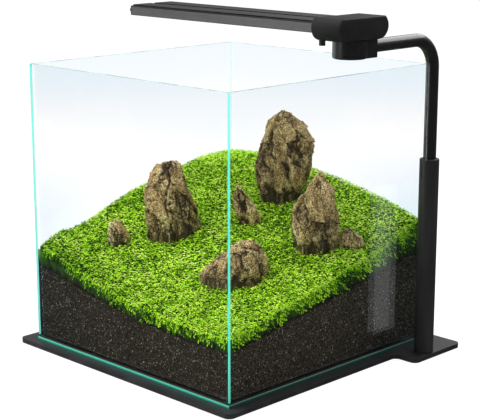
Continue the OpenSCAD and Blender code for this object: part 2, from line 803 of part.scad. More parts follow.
module head_housing() {
    wall_x = head_x0 + bar_wall;
    color("#202123") difference() {
        union() {
            difference() {
                head_form();
                translate([head_x0 - cut, lamp_y - head_w, head_z0 + head_split])
                    cube([head_len + 1, 2 * head_w, head_h]);
                head_cavity();
            }
            translate([0, lamp_y, head_z0]) {
                for (s = [-1, 1]) translate([boss_x, s * boss_y, 1])
                    cylinder(d = boss_d, h = head_split - 1);
                for (x = [post_x - 7, post_x + 4]) translate([x, driver_y1 - standoff_in, 1])
                    cylinder(d = 5, h = driver_z - 1);
                translate([post_x + 4, driver_y0 + standoff_out, 1]) cylinder(d = 5, h = driver_z - 1);
            }
            intersection() {
                head_form();
                translate([button_pos[0], button_pos[1], head_z0])
                    cylinder(d = button_flange_d + 2.4, h = seat_z);
            }
        }
        translate([post_x, lamp_y, head_z0 - cut])
            cylinder(d = pivot_d + 2 * tight_fit, h = head_floor + 2 * cut);
        translate([button_pos[0], button_pos[1], head_z0 - cut])
            cylinder(d = button_d + 0.3, h = seat_z + 2 * cut);
        translate([0, lamp_y, head_z0]) {
            for (s = [-1, 1]) translate([boss_x, s * boss_y, -cut]) {
                cylinder(d = cover_screw_d + 0.4, h = head_h);
                cylinder(d = cover_screw_head_d + 0.4, h = cover_screw_head_h + 0.3 + cut);
            }
            translate([0, 0, bar_lift]) {
                along_x(head_x0 - cut, bar_recess + cut) bar_outline(bar_fit);
                for (s = [-1, 1]) translate([wall_x, s * port_y, port_z]) mirror([1, 0, 0])
                    bar_screw(tight_fit);
                translate([head_x0, 8, port_z]) rotate([0, 90, 0]) cylinder(d = 4, h = bar_wall + cut);
            }
            translate([post_x, head_w / 2 - socket_flange_t, head_side_r]) rotate([-90, 0, 0])
                cylinder(d = socket_flange_d + 4 * tight_fit, h = head_wall + cut);
            translate([post_x, head_w / 2 - 2 * head_wall - cut, head_side_r]) rotate([-90, 0, 0])
                cylinder(d = socket_d + 2 * tight_fit, h = 2 * head_wall + cut);
        }
    }
}

module head_cover() {
    lip_x0 = head_x0 + bar_wall + lip_gap;
    lip_x1 = head_x1 - head_wall - lip_gap;
    color("#2a2b2d") difference() {
        union() {
            intersection() {
                head_form();
                translate([head_x0 - cut, lamp_y - head_w, head_z0 + head_split])
                    cube([head_len + 1, 2 * head_w, head_h]);
            }
            translate([0, lamp_y, head_z0 + head_split - lip_h]) difference() {
                translate([lip_x0, -lip_half, 0]) cube([lip_x1 - lip_x0, 2 * lip_half, lip_h + cut]);
                translate([lip_x0 + lip_t, -lip_half + lip_t, -cut])
                    cube([lip_x1 - lip_x0 - 2 * lip_t, 2 * (lip_half - lip_t), lip_h + cut]);
            }
        }
        for (s = [-1, 1]) translate([boss_x, lamp_y + s * boss_y, head_z0 + head_split - cut])
            cylinder(d = cover_screw_d + 2 * tight_fit, h = cover_screw_bite + 0.2 + cut);
    }
}

module cover_screws() {
    z0 = head_z0 + 0.2;
    color("#6d6f72") for (s = [-1, 1]) translate([boss_x, lamp_y + s * boss_y, z0]) {
        cylinder(d = cover_screw_head_d, h = cover_screw_head_h);
        cylinder(d = cover_screw_d, h = head_split - 0.2 + cover_screw_bite);
    }
}

module bar_screws() {
    color("#6d6f72") for (s = [-1, 1])
        translate([head_x0 + bar_wall, lamp_y + s * port_y, bar_z0 + port_z]) mirror([1, 0, 0]) bar_screw();
}

// ---------------------------------------------------------------- LED bar

module bar_section() {
    difference() {
        bar_outline();
        translate([-channel_w / 2, -cut]) square([channel_w, channel_h + cut]);
        translate([-channel_w / 2 - seat_w, -cut]) square([channel_w + 2 * seat_w, diffuser_t + 0.4 + cut]);
    }
}

module led_bar() {
    color("#6f7276") translate([0, lamp_y, bar_z0]) difference() {
        along_x(bar_x0, bar_len) bar_section();
        for (s = [-1, 1]) translate([bar_x0 - cut, s * port_y, port_z]) rotate([0, 90, 0])
            cylinder(d = port_d, h = bar_len + 2 * cut);
    }
}

module bar_end_cap() {
    tip = head_x0 - bar_reach;
    color("#1f2022") translate([0, lamp_y, bar_z0]) difference() {
        intersection() {
            along_x(tip, cap_t) bar_outline();
            translate([0, 0, -cut]) linear_extrude(bar_h + pad_rise + 2 * cut)
                round_rect([tip, -bar_w / 2], [tip + 3 * cap_t, bar_w / 2], cap_corner_r);
        }
        for (s = [-1, 1]) translate([tip, s * port_y, port_z]) bar_screw(tight_fit);
    }
}

module cap_screws() {
    color("#6d6f72") for (s = [-1, 1])
        translate([head_x0 - bar_reach, lamp_y + s * port_y, bar_z0 + port_z]) bar_screw();
}

module led_board() {
    color("#e8eae6") translate([bar_x0 + 3, lamp_y - channel_w / 2 + 1, bar_z0 + channel_h - board_t])
        cube([bar_len - 6, channel_w - 2, board_t]);
}

module led_chips() {
    count = floor((bar_len - 20) / led_pitch);
    first = bar_x0 + (bar_len - (count - 1) * led_pitch) / 2;
    color("#f0d96a") for (k = [0:count - 1], s = [-1, 1])
        translate([first + k * led_pitch - led_size[0] / 2, lamp_y + s * led_row_y - led_size[1] / 2,
            bar_z0 + channel_h - board_t - led_size[2]]) cube(led_size);
}

module diffuser() {
    w = channel_w + 2 * seat_w - 0.4;
    color("#eef2f2") translate([bar_x0 + 0.2, lamp_y - w / 2, bar_z0 + 0.4])
        cube([bar_len - bar_recess - 0.6, w, diffuser_t]);
}

// ---------------------------------------------------------------- driver, switch and power inlet

module driver_board() {
    top = driver_z + driver_t;
    color("#2f6b45") translate([0, lamp_y, head_z0]) {
        translate([driver_x0, driver_y0, driver_z])
            cube([driver_x1 - driver_x0, driver_y1 - driver_y0, driver_t]);
        translate([post_x - 5, -16, top]) cylinder(d = 8, h = 3.5);
        translate([post_x - 6, 2, top]) cube([8, 8, 1.8]);
    }
}

module switch_body() {
    color("#3a3a3c")
        translate([button_pos[0] - switch_size / 2, button_pos[1] - switch_size / 2, head_z0 + switch_z0])
        cube([switch_size, switch_size, driver_z - switch_z0]);
}

module dc_socket() {
    color("#17181a") translate([post_x, lamp_y + head_w / 2, head_z0 + head_side_r])
        rotate([90, 0, 0]) difference() {
        union() {
            cylinder(d = socket_flange_d, h = socket_flange_t);
            cylinder(d = socket_d, h = socket_depth + socket_wall);
        }
        translate([0, 0, -cut]) cylinder(d = socket_bore, h = socket_depth + cut);
    }
}

module dc_pin() {
    color("#c9cbcc") translate([post_x, lamp_y + head_w / 2 - 1, head_z0 + head_side_r]) rotate([90, 0, 0])
        cylinder(d = socket_pin_d, h = socket_depth - 1);
}

module switch_button() {
    color("#1a1b1d") translate([button_pos[0], button_pos[1], head_z0]) {
        translate([0, 0, -button_out]) cylinder(d = button_d, h = button_out + seat_z + button_flange_t);
        translate([0, 0, seat_z]) cylinder(d = button_flange_d, h = button_flange_t);
    }
}

// ---------------------------------------------------------------- nodes

foam_pad();
base_plate();
post_screw();
locating_pin();
sleeve_foot();
post_sleeve();
sleeve_bush();
bottom_pane();
front_pane();
back_pane();
left_pane();
right_pane();
silicone_beads();
soil();
plant_carpet();
stone_left();
stone_left_small();
stone_back_tall();
stone_slim();
stone_right();
stone_right_low();
stone_front();
tube_glide();
arm_tube();
swivel_hub();
clamp_screw();
friction_washer();
hub_cap();
pivot_bolt();
spring_washer();
pivot_nut();
head_housing();
head_cover();
cover_screws();
bar_screws();
led_bar();
bar_end_cap();
cap_screws();
led_board();
led_chips();
diffuser();
driver_board();
switch_body();
dc_socket();
dc_pin();
switch_button();
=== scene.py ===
import math
import random

import bmesh
import bpy
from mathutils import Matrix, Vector, noise


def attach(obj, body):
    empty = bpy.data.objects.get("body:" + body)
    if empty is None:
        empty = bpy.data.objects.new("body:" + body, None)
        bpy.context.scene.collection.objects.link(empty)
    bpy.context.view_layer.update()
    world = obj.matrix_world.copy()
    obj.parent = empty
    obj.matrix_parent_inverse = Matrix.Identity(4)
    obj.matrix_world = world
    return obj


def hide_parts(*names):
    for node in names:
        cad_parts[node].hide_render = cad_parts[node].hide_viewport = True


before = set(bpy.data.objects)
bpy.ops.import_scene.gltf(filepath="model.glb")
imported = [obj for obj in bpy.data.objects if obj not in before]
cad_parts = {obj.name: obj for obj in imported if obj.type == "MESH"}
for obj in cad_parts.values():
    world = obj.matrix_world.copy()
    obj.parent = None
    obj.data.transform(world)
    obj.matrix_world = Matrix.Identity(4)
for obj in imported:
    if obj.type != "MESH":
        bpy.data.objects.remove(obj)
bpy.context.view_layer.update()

# ---------------------------------------------------------------- foam pad
# The tank stands on a thin sheet of closed-cell foam, which takes up small unevenness of the shelf.
# Cut from a charcoal sheet and glued under the plate, a little in from its edge.

# Soft noise has nearly all of its values between these two
NOISE_SPAN = (0.3, 0.7)


def linear(shade):
    """An sRGB hex colour as the linear colour that a shader takes."""
    parts = [int(shade[i:i + 2], 16) / 255 for i in (1, 3, 5)]
    return [c / 12.92 if c <= 0.04045 else ((c + 0.055) / 1.055) ** 2.4 for c in parts] + [1.0]


def add(tree, kind, feeds=(), stops=(), **settings):
    """Adds a node with its settings, its inputs as values or links, and a ramp's colours."""
    node = tree.nodes.new(kind)
    for name, value in settings.items():
        setattr(node, name, value)
    for key, value in dict(feeds).items():
        if isinstance(value, bpy.types.NodeSocket):
            tree.links.new(value, node.inputs[key])
        else:
            node.inputs[key].default_value = value
    if stops:
        ramp = node.color_ramp.elements
        ramp[0].position, ramp[0].color = stops[0][0], linear(stops[0][1])
        ramp[1].position, ramp[1].color = stops[-1][0], linear(stops[-1][1])
        for place, shade in stops[1:-1]:
            ramp.new(place).color = linear(shade)
    return node


def mapped(tree, value, low, high, to_low=0.0, to_high=1.0, ease="SMOOTHSTEP"):
    """A value eased from one range to another, held at both ends."""
    return add(tree, "ShaderNodeMapRange", {
        "Value": value, "From Min": low, "From Max": high, "To Min": to_low, "To Max": to_high},
        interpolation_type=ease).outputs[0]


def speckle(tree, place, scale, detail=2, **more):
    """Soft noise at a place, finer with a larger scale."""
    feeds = {"Vector": place, "Scale": scale, "Detail": detail, **more}
    return add(tree, "ShaderNodeTexNoise", feeds).outputs[0]


def ramped(tree, share, stops):
    """The colour at a share along a ramp of places and shades."""
    return add(tree, "ShaderNodeValToRGB", {"Fac": share}, stops).outputs[0]


def feed(tree, node, **sockets):
    """Leads links into a node's sockets of those names."""
    for socket, value in sockets.items():
        tree.links.new(value, node.inputs[socket.replace("_", " ")])


def relieve(tree, shader, height, strength, depth):
    """Lets a surface catch the light as if it stood out by a height."""
    bump = add(tree, "ShaderNodeBump", {"Height": height, "Strength": strength, "Distance": depth})
    feed(tree, shader, Normal=bump.outputs[0])


def finish_for(name, **sockets):
    """Starts a named finish: its material, tree, shader and the place on the object."""
    material = bpy.data.materials.new(name)
    material.use_nodes = True
    tree = material.node_tree
    shader = tree.nodes["Principled BSDF"]
    for socket, value in sockets.items():
        shader.inputs[socket.replace("_", " ")].default_value = value
    return material, tree, shader, add(tree, "ShaderNodeTexCoord").outputs["Object"]


def grained(finish, shades, patch_mm, grain_mm, depth_mm, rough, stretch=(1, 1, 1)):
    """Colour and roughness that drift over patches, and a fine relief from a grain of its own."""
    material, tree, shader, place = finish
    along = add(tree, "ShaderNodeMapping", {"Vector": place, "Scale": stretch}).outputs[0]
    patch = speckle(tree, along, 1000 / patch_mm, 3)
    feed(tree, shader, Base_Color=ramped(tree, patch, list(zip(NOISE_SPAN, shades))),
         Roughness=mapped(tree, patch, *NOISE_SPAN, *rough, "LINEAR"))
    relieve(tree, shader, speckle(tree, along, 1000 / grain_mm), 0.6, depth_mm / 1000)
    return material


def dress(finish, *nodes):
    """Gives CAD nodes their finish."""
    for node in nodes:
        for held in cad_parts[node].material_slots:
            held.material = finish


# Closed-cell EVA foam: dull charcoal with fine pores
dress(grained(finish_for("eva_foam"), ["#26272a", "#35363a"], 4, 0.7, 0.15, (0.86, 0.96)), "foam_pad")

# ---------------------------------------------------------------- base plate
# A 5 mm steel plate, laser cut with an ear for the post, its edges eased, then powder coated.
# The tank rests on it by its own weight.
PLATE_EASE = 0.0006
# Edges that turn by more than this are rounded over
EASE_FROM = math.radians(35)


def merged(node):
    """A mesh copy of a CAD node with its loose triangles joined into whole faces."""
    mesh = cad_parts[node].data.copy()
    work = bmesh.new()
    work.from_mesh(mesh)
    bmesh.ops.remove_doubles(work, verts=work.verts[:], dist=2e-6)
    bmesh.ops.dissolve_limit(work, angle_limit=math.radians(0.4), verts=work.verts[:], edges=work.edges[:])
    work.to_mesh(mesh)
    work.free()
    return mesh


def in_scene(name, data):
    """A new object that is put into the scene."""
    item = bpy.data.objects.new(name, data)
    bpy.context.scene.collection.objects.link(item)
    return item


def piece(name, mesh, finish, body, slot, *replaced):
    """Places a finished mesh: its finish, the body it rides and the nodes it stands for; the slot is not
    used.
    """
    item = in_scene(name, mesh)
    if finish is not None:
        mesh.materials.clear()
        mesh.materials.append(finish)
    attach(item, body)
    if replaced:
        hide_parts(*replaced)


def evaluated_mesh(item):
    """The plain mesh that an object's modifiers make; the object itself goes."""
    bpy.context.view_layer.update()
    graph = bpy.context.evaluated_depsgraph_get()
    mesh = bpy.data.meshes.new_from_object(item.evaluated_get(graph))
    bpy.data.objects.remove(item)
    return mesh


def eased(node, width, turns=3):
    """A CAD node's shape with its sharp edges rounded over, as on the real part."""
    mesh = merged(node)
    mesh.materials.clear()
    mesh.shade_smooth()
    mesh.set_sharp_from_angle(angle=EASE_FROM)
    item = in_scene("easing", mesh)
    edge = item.modifiers.new("round", "BEVEL")
    edge.width, edge.segments, edge.limit_method = width, turns, "ANGLE"
    edge.angle_limit, edge.harden_normals = EASE_FROM, True
    return evaluated_mesh(item)


# Powder coat: near black satin polyester, baked on, with a faint orange peel about 1 mm across
powder_coat = grained(
    finish_for("powder_coated_steel", Specular_IOR_Level=0.4), ["#252426", "#2f2d30"], 22, 1.1, 0.03,
    (0.3, 0.42))
piece("base_plate_coated", eased("base_plate", PLATE_EASE), powder_coat, "stand", "coated_steel",
      "base_plate")

# ---------------------------------------------------------------- post
# A turned foot is screwed to the plate's ear and pinned against turning. The black steel sleeve is
# pressed over it and carries a nylon bush in its mouth, in which the lamp's tube slides and turns.
SLEEVE_EASE = 0.0004
zinc_plate = grained(
    finish_for("zinc_plated_steel", Metallic=1.0), ["#8f9194", "#a6a8aa"], 6, 0.4, 0.01, (0.28, 0.42))
dress(zinc_plate, "post_screw", "locating_pin", "clamp_screw", "pivot_bolt", "spring_washer", "pivot_nut")
# Turned aluminium: fine rings from the tool, closed round the upright axis
dress(grained(finish_for("turned_aluminium", Metallic=1.0), ["#8c8e90", "#9c9ea0"], 5, 0.3, 0.01,
              (0.3, 0.45), (0.2, 0.2, 4)), "sleeve_foot")
# Moulded black nylon: dense, slightly waxy
black_nylon = grained(finish_for("black_nylon", Specular_IOR_Level=0.35), ["#0f1012", "#16171a"], 5, 0.5,
                      0.02, (0.42, 0.55))
dress(black_nylon, "sleeve_bush", "hub_cap", "switch_body", "dc_socket")
# Black powder coat on the sleeve: matt, charcoal, with the draw lines along it just showing through
sleeve_coat = grained(
    finish_for("black_coated_sleeve", Specular_IOR_Level=0.4), ["#222224", "#2a2a2c"], 9, 0.8, 0.01,
    (0.4, 0.48), (1, 1, 0.15))
piece("post_sleeve_coated", eased("post_sleeve", SLEEVE_EASE), sleeve_coat, "stand", "black_steel",
      "post_sleeve")

# ---------------------------------------------------------------- glass tank
# Four 4 mm walls and a 5 mm bottom of low-iron float glass, mitred at the uprights and glued. The
# outer arrises and cut edges are polished and clear cyan green, with a painted glow for the light they
# gather.
WALL = 0.004
OUTER = 0.150
GLASS_FOOT = 0.0065
GLASS_RIM = 0.3105
TANK_FLOOR = 0.0115
# Height of the soil over the tank's floor: front left, front right, back left, back right
SOIL_CORNERS = (0.077, 0.046, 0.129, 0.092)
# Height of the plants over the soil
PLANTS_FRONT, PLANTS_BACK = 0.017, 0.032


def maths(tree, operation, *values):
    """The outcome of one operation on numbers or links."""
    return add(tree, "ShaderNodeMath", dict(enumerate(values)), operation=operation).outputs[0]


def blend(tree, share, under, over):
    """One colour laid over another by a share; each is a link or a hex colour."""
    under, over = (linear(tone) if isinstance(tone, str) else tone for tone in (under, over))
    return add(tree, "ShaderNodeMix", {0: share, 6: under, 7: over}, data_type="RGBA").outputs[2]


def axes_of(tree, place):
    """A place's distances across, front to back and up."""
    return add(tree, "ShaderNodeSeparateXYZ", {0: place}).outputs


# Float glass faces: clear, a trace of sky blue in their thickness towards the rim and the outer
# corners, and a thin mirror at a flat angle. Light passes straight through.
glass_face, tree, mirror, place = finish_for(
    "float_glass", Metallic=1.0, Roughness=0.02, Base_Color=linear("#ffffff"))
axes = axes_of(tree, place)
side_sum = maths(tree, "ADD", axes[0], axes[1])
side_far = maths(tree, "MAXIMUM", side_sum, maths(tree, "MULTIPLY", side_sum, -0.75))
low_share = mapped(tree, axes[2], 0.14, 0.24, 1.0, 0.0)
corner_tint = maths(tree, "MULTIPLY", mapped(tree, side_far, 0.08, 0.29), low_share)
tint = blend(tree, corner_tint, "#ffffff", "#f6f9fc")
tint = blend(tree, mapped(tree, axes[2], 0.235, 0.31), tint, "#fafdff")
clear = add(tree, "ShaderNodeBsdfTransparent", {"Color": tint}).outputs[0]
grazing = maths(tree, "POWER", add(tree, "ShaderNodeLayerWeight", {"Blend": 0.5}).outputs["Facing"], 5.0)
mirror_share = mapped(tree, grazing, 0.0, 1.0, 0.03, 0.5, "LINEAR")
both = add(tree, "ShaderNodeMixShader", {0: mirror_share, 1: clear, 2: mirror.outputs[0]})
feed(tree, tree.nodes["Material Output"], Surface=both.outputs[0])

# Polished arris: its cyan edge colour with a painted glow for light led along the sheet, bright cyan high
# up, deeper lower down, and faint in the back left corner
glass_arris, tree, shader, place = finish_for(
    "polished_glass_arris", Roughness=0.12, IOR=1.5, Emission_Strength=0.3)
axes = axes_of(tree, place)
# Painted glow: this cyan is also the arris's emission, brighter higher up
arris_glow_tone = ramped(tree, mapped(tree, axes[2], 0.0, GLASS_RIM, ease="LINEAR"), [
    (0.0, "#4fc0a8"), (0.12, "#5ad8c0"), (0.35, "#55e6cc"), (0.7, "#5cf0dc"), (1.0, "#6af8ea")])
back_lean = maths(tree, "SUBTRACT", axes[1], axes[0])
feed(tree, shader, Alpha=mapped(tree, back_lean, 0.1, 0.28, 1.0, 0.28), Base_Color=arris_glow_tone,
     Emission_Color=arris_glow_tone)

# Mitred joint: a painted cyan glow close behind the outer corner; deeper in, a painted reflection of the soil
# and the plants beside it, and above them it is clear
JOINT_GLOW_CYAN = "#8af4ea"
glass_joint, tree, shader, place = finish_for("glued_glass_mitre", Roughness=0.25, Emission_Strength=0.3)
axes = axes_of(tree, place)
outward = maths(tree, "MAXIMUM", *[maths(tree, "ABSOLUTE", axis) for axis in axes[:2]])
outer_share = mapped(tree, outward, OUTER - 0.0024, OUTER - 0.0017)
front_left, front_right, back_left, back_right = SOIL_CORNERS
soil_line = TANK_FLOOR + sum(SOIL_CORNERS) / 4
for axis, slope in ((0, front_right + back_right - front_left - back_left),
                    (1, back_left + back_right - front_left - front_right)):
    soil_line = maths(tree, "MULTIPLY_ADD", axes[axis], slope / 4 / OUTER, soil_line)
plants_deep = maths(tree, "MULTIPLY_ADD", axes[1], (PLANTS_BACK - PLANTS_FRONT) / 2 / OUTER,
                    (PLANTS_FRONT + PLANTS_BACK) / 2)
up_share = maths(tree, "DIVIDE", maths(tree, "SUBTRACT", axes[2], soil_line), plants_deep)
# Painted reflection of the soil and the plants beside the joint, by height
beside = ramped(tree, mapped(tree, up_share, -1.0, 1.0, ease="LINEAR"), [
    (0.45, "#2a2824"), (0.56, "#1f360a"), (0.75, "#3f7010"), (1.0, "#77a82c")])
bedded = mapped(tree, up_share, 1.0, 1.12, 0.92, 0.0)
# Painted glow in cyan close behind the outer corner
feed(tree, shader, Base_Color=blend(tree, outer_share, beside, JOINT_GLOW_CYAN),
     Emission_Color=blend(tree, outer_share, "#000000", JOINT_GLOW_CYAN),
     Alpha=maths(tree, "MAXIMUM", outer_share, bedded))

# Rim: the cut top edge, ground and polished, a thin grey green line
glass_rim, tree, shader, place = finish_for("ground_glass_rim", Roughness=0.25, IOR=1.5, Alpha=0.8)
feed(tree, shader, Base_Color=ramped(tree, speckle(tree, place, 70.0), [
    (0.35, "#6f9494"), (0.5, "#93b5b3"), (0.65, "#b4d2cf")]))

# Bottom sheet's edge: green below, with painted light: brighter with a bright core on the front, a painted
# shade deeper on the right with a painted highlight line, and a painted reflection of the dark bed above
glass_foot, tree, shader, place = finish_for("polished_bottom_edge", Roughness=0.1, IOR=1.5)
axes = axes_of(tree, place)
front_share = mapped(tree, axes[0], OUTER - 0.0008, OUTER - 0.0003, 1.0, 0.0)
up_share = mapped(tree, axes[2], GLASS_FOOT, TANK_FLOOR, ease="LINEAR")
# Painted light on the front: a bright core, then a painted reflection of the dark bed
front_lit_tone = ramped(tree, up_share, [
    (0.0, "#2f9a80"), (0.2, "#45c4a6"), (0.48, "#7cf0d6"), (0.62, "#3a6458"), (0.72, "#3b382f"),
    (1.0, "#39352b")])
# Painted shade on the right, with a painted highlight line near 0.58
right_shaded_tone = ramped(tree, up_share, [
    (0.0, "#1f4a40"), (0.35, "#265c50"), (0.5, "#2f6b60"), (0.58, "#a9cdc6"), (0.66, "#4a5a55"),
    (0.75, "#332f27"), (1.0, "#332f27")])
feed(tree, shader, Base_Color=blend(tree, front_share, right_shaded_tone, front_lit_tone))

PANES = {"front_pane": (0, -1), "back_pane": (0, 1), "left_pane": (-1, 0), "right_pane": (1, 0)}
FACE, ARRIS, JOINT, RIM = range(4)
for node, (out_x, out_y) in PANES.items():
    sheet = merged(node)
    sheet.materials.clear()
    for finish in (glass_face, glass_arris, glass_joint, glass_rim):
        sheet.materials.append(finish)
    for face in sheet.polygons:
        facing = face.normal.x * out_x + face.normal.y * out_y
        if face.normal.z > 0.9:
            face.material_index = RIM
        elif abs(facing) > 0.95 or face.normal.z < -0.9:
            face.material_index = FACE
        else:
            face.material_index = ARRIS if facing > 0 else JOINT
    piece(node + "_glass", sheet, None, "stand", "clear_glass", node)
sheet = merged("bottom_pane")
sheet.materials.clear()
for finish in (glass_face, glass_foot):
    sheet.materials.append(finish)
for face in sheet.polygons:
    face.material_index = 0 if abs(face.normal.z) > 0.9 else 1
piece("bottom_pane_glass", sheet, None, "stand", "clear_glass", "bottom_pane")

# ---------------------------------------------------------------- silicone
# A small fillet of clear silicone in every inner corner, drawn with a rounded tool.
# Cured silicone: water clear, with only a trace of milk where it is thick
silicone, tree, shader, place = finish_for("clear_silicone", Roughness=0.3, Specular_IOR_Level=0.3)
cloud = speckle(tree, place, 90.0)
feed(tree, shader, Alpha=mapped(tree, cloud, *NOISE_SPAN, 0.015, 0.04, "LINEAR"),
     Base_Color=ramped(tree, cloud, list(zip(NOISE_SPAN, ("#cfe0de", "#e2eeec")))))
dress(silicone, "silicone_beads")

# ---------------------------------------------------------------- soil
# A bank of baked clay granules, 1 to 3 mm, banked up towards the back left corner.
# Poured dry against the glass, so the grains stand packed behind the pane.
INNER = 2 * (OUTER - WALL)
# Rise in the middle of the back, rise along the left side, dip in the middle of the front
CREST, SHOULDER, SAG = 0.023, 0.015, 0.010
FILL_GAP = 0.0002
CORNER_AT = INNER / 2 + 0.0001
# Size of a grain, how far the gaps between the grains go in, and the mesh's step along the glass
GRAIN, GRAIN_DEPTH, GRAIN_STEP = 0.0017, 0.0007, 0.00125


def uv_at(x, y):
    """Shares of the tank's inside, across and front to back."""
    return x / INNER + 0.5, y / INNER + 0.5


def soil_level(x, y):
    """Height of the soil at a place in the tank."""
    u, v = uv_at(x, y)
    front_left, front_right, back_left, back_right = SOIL_CORNERS
    level = front_left * (1 - u) * (1 - v) + front_right * u * (1 - v)
    level += back_left * (1 - u) * v + back_right * u * v
    level += CREST * 4 * u * (1 - u) * v * v + SHOULDER * (1 - u) * 4 * v * (1 - v)
    return TANK_FLOOR + level - SAG * 4 * u * (1 - u) * (1 - v)


def fill_line(inset, step):
    """The fill's outline seen from above, a square of evenly spaced points."""
    w = INNER / 2 - inset
    corners = [(-w, -w), (w, -w), (w, w), (-w, w)]
    line = []
    for (x0, y0), (x1, y1) in zip(corners, corners[1:] + corners[:1]):
        count = round(2 * w / step)
        line += [(x0 + (x1 - x0) * k / count, y0 + (y1 - y0) * k / count) for k in range(count)]
    return line


def made_mesh(name, points, faces, **values):
    """A mesh of points and faces, with named values kept at its points."""
    mesh = bpy.data.meshes.new(name)
    mesh.from_pydata(points, [], faces)
    for value, at_points in values.items():
        mesh.attributes.new(value, "FLOAT", "POINT").data.foreach_set("value", at_points)
    return mesh


def ring_faces(steps, n):
    """Four-sided faces between rings of n points, from each ring to the next."""
    pairs = [(k * n, i, (i + 1) % n) for k in range(steps) for i in range(n)]
    return [(at + i, at + j, at + n + j, at + n + i) for at, i, j in pairs]


def closed_faces(steps, n):
    """The same, closed by fans round an upper and a lower middle point, which come last."""
    last = steps * n
    faces = ring_faces(steps, n)
    faces += [(last + i, last + (i + 1) % n, last + n) for i in range(n)]
    return faces + [((i + 1) % n, i, last + n + 1) for i in range(n)]


def bank(line, rows, rings, low_at, high_at, place_at):
    """A closed bank: walls in rows up the outline, then rings over the top to one middle point."""
    points, drops = [], []
    for k in range(rows + 1):
        share = k / rows
        for x, y in line:
            low, high = low_at(x, y), high_at(x, y)
            points.append(place_at(x, y, low + (high - low) * share, True))
            drops.append(1 - share)
    for k in range(1, rings):
        inward = 1 - k / rings
        for x, y in line:
            points.append(place_at(x * inward, y * inward, high_at(x * inward, y * inward), False))
            drops.append(0.0)
    points += [place_at(0, 0, high_at(0, 0), False), (0, 0, low_at(0, 0))]
    mesh = made_mesh("bank", points, closed_faces(rows + rings - 1, len(line)), drop=drops + [0.0, 1.0])
    mesh.shade_smooth()
    return mesh


def grain_place(x, y, z, on_wall):
    """A point of the soil, set back between the grains where it lies against the glass."""
    if not on_wall:
        return (x, y, z)
    near, second = noise.voronoi(Vector((x, y, z)) / GRAIN)[0][:2]
    back = GRAIN_DEPTH * min(1.0, max(0.0, 1.15 - 2.2 * (second - near)))
    wall = INNER / 2 - FILL_GAP
    back_x, back_y = (back if abs(abs(at) - wall) < 1e-6 else 0.0 for at in (x, y))
    if back_x and back_y:
        return (math.copysign(CORNER_AT, x), math.copysign(CORNER_AT, y), z)
    return (x - math.copysign(back_x, x), y - math.copysign(back_y, y), z)


soil_mesh = bank(
    fill_line(FILL_GAP, GRAIN_STEP), 84, 12, lambda x, y: TANK_FLOOR + FILL_GAP, soil_level, grain_place)
# Baked clay: dull near black, each grain a little greyer or browner, with rare pale specks, and painted shade
# near black in the gaps between the grains
baked_clay, tree, shader, place = finish_for("baked_clay_granules", Specular_IOR_Level=0.08)
grains = add(tree, "ShaderNodeTexVoronoi", {"Vector": place, "Scale": 1.4 / GRAIN}).outputs
clay = ramped(tree, add(tree, "ShaderNodeSeparateColor", {0: grains["Color"]}).outputs[0], [
    (0.0, "#24211a"), (0.4, "#343026"), (0.75, "#464034"), (0.93, "#5a5546"), (0.97, "#7e7864"),
    (1.0, "#b0aa92")])
# Painted shade: near black towards the edge of each grain
clear_of_gap_shade = mapped(tree, grains["Distance"], 0.25, 0.75, 1.0, 0.25)
crumb = speckle(tree, place, 2500.0)
feed(tree, shader, Base_Color=blend(tree, clear_of_gap_shade, "#0c0b0a", clay),
     Roughness=mapped(tree, crumb, *NOISE_SPAN, 0.75, 0.95))
relieve(tree, shader, crumb, 0.5, 0.0002)
piece("soil_granules", soil_mesh, baked_clay, "stand", "baked_soil", "soil")

# ---------------------------------------------------------------- stones
# Seven craggy brown stones, set upright in the bank before planting, in a loose group.
# Weathered sedimentary rock, broken into tilted faces 5 to 15 mm across with cracks between them:
# ochre on the high spots, with painted shade in the hollows, the cracks and at the foot.
SWELL_TOP = 0.93
STONE_BED = 0.008
# A fixed seed for the noise vectors, so that the stones come out the same each time
noise.seed_set(4)
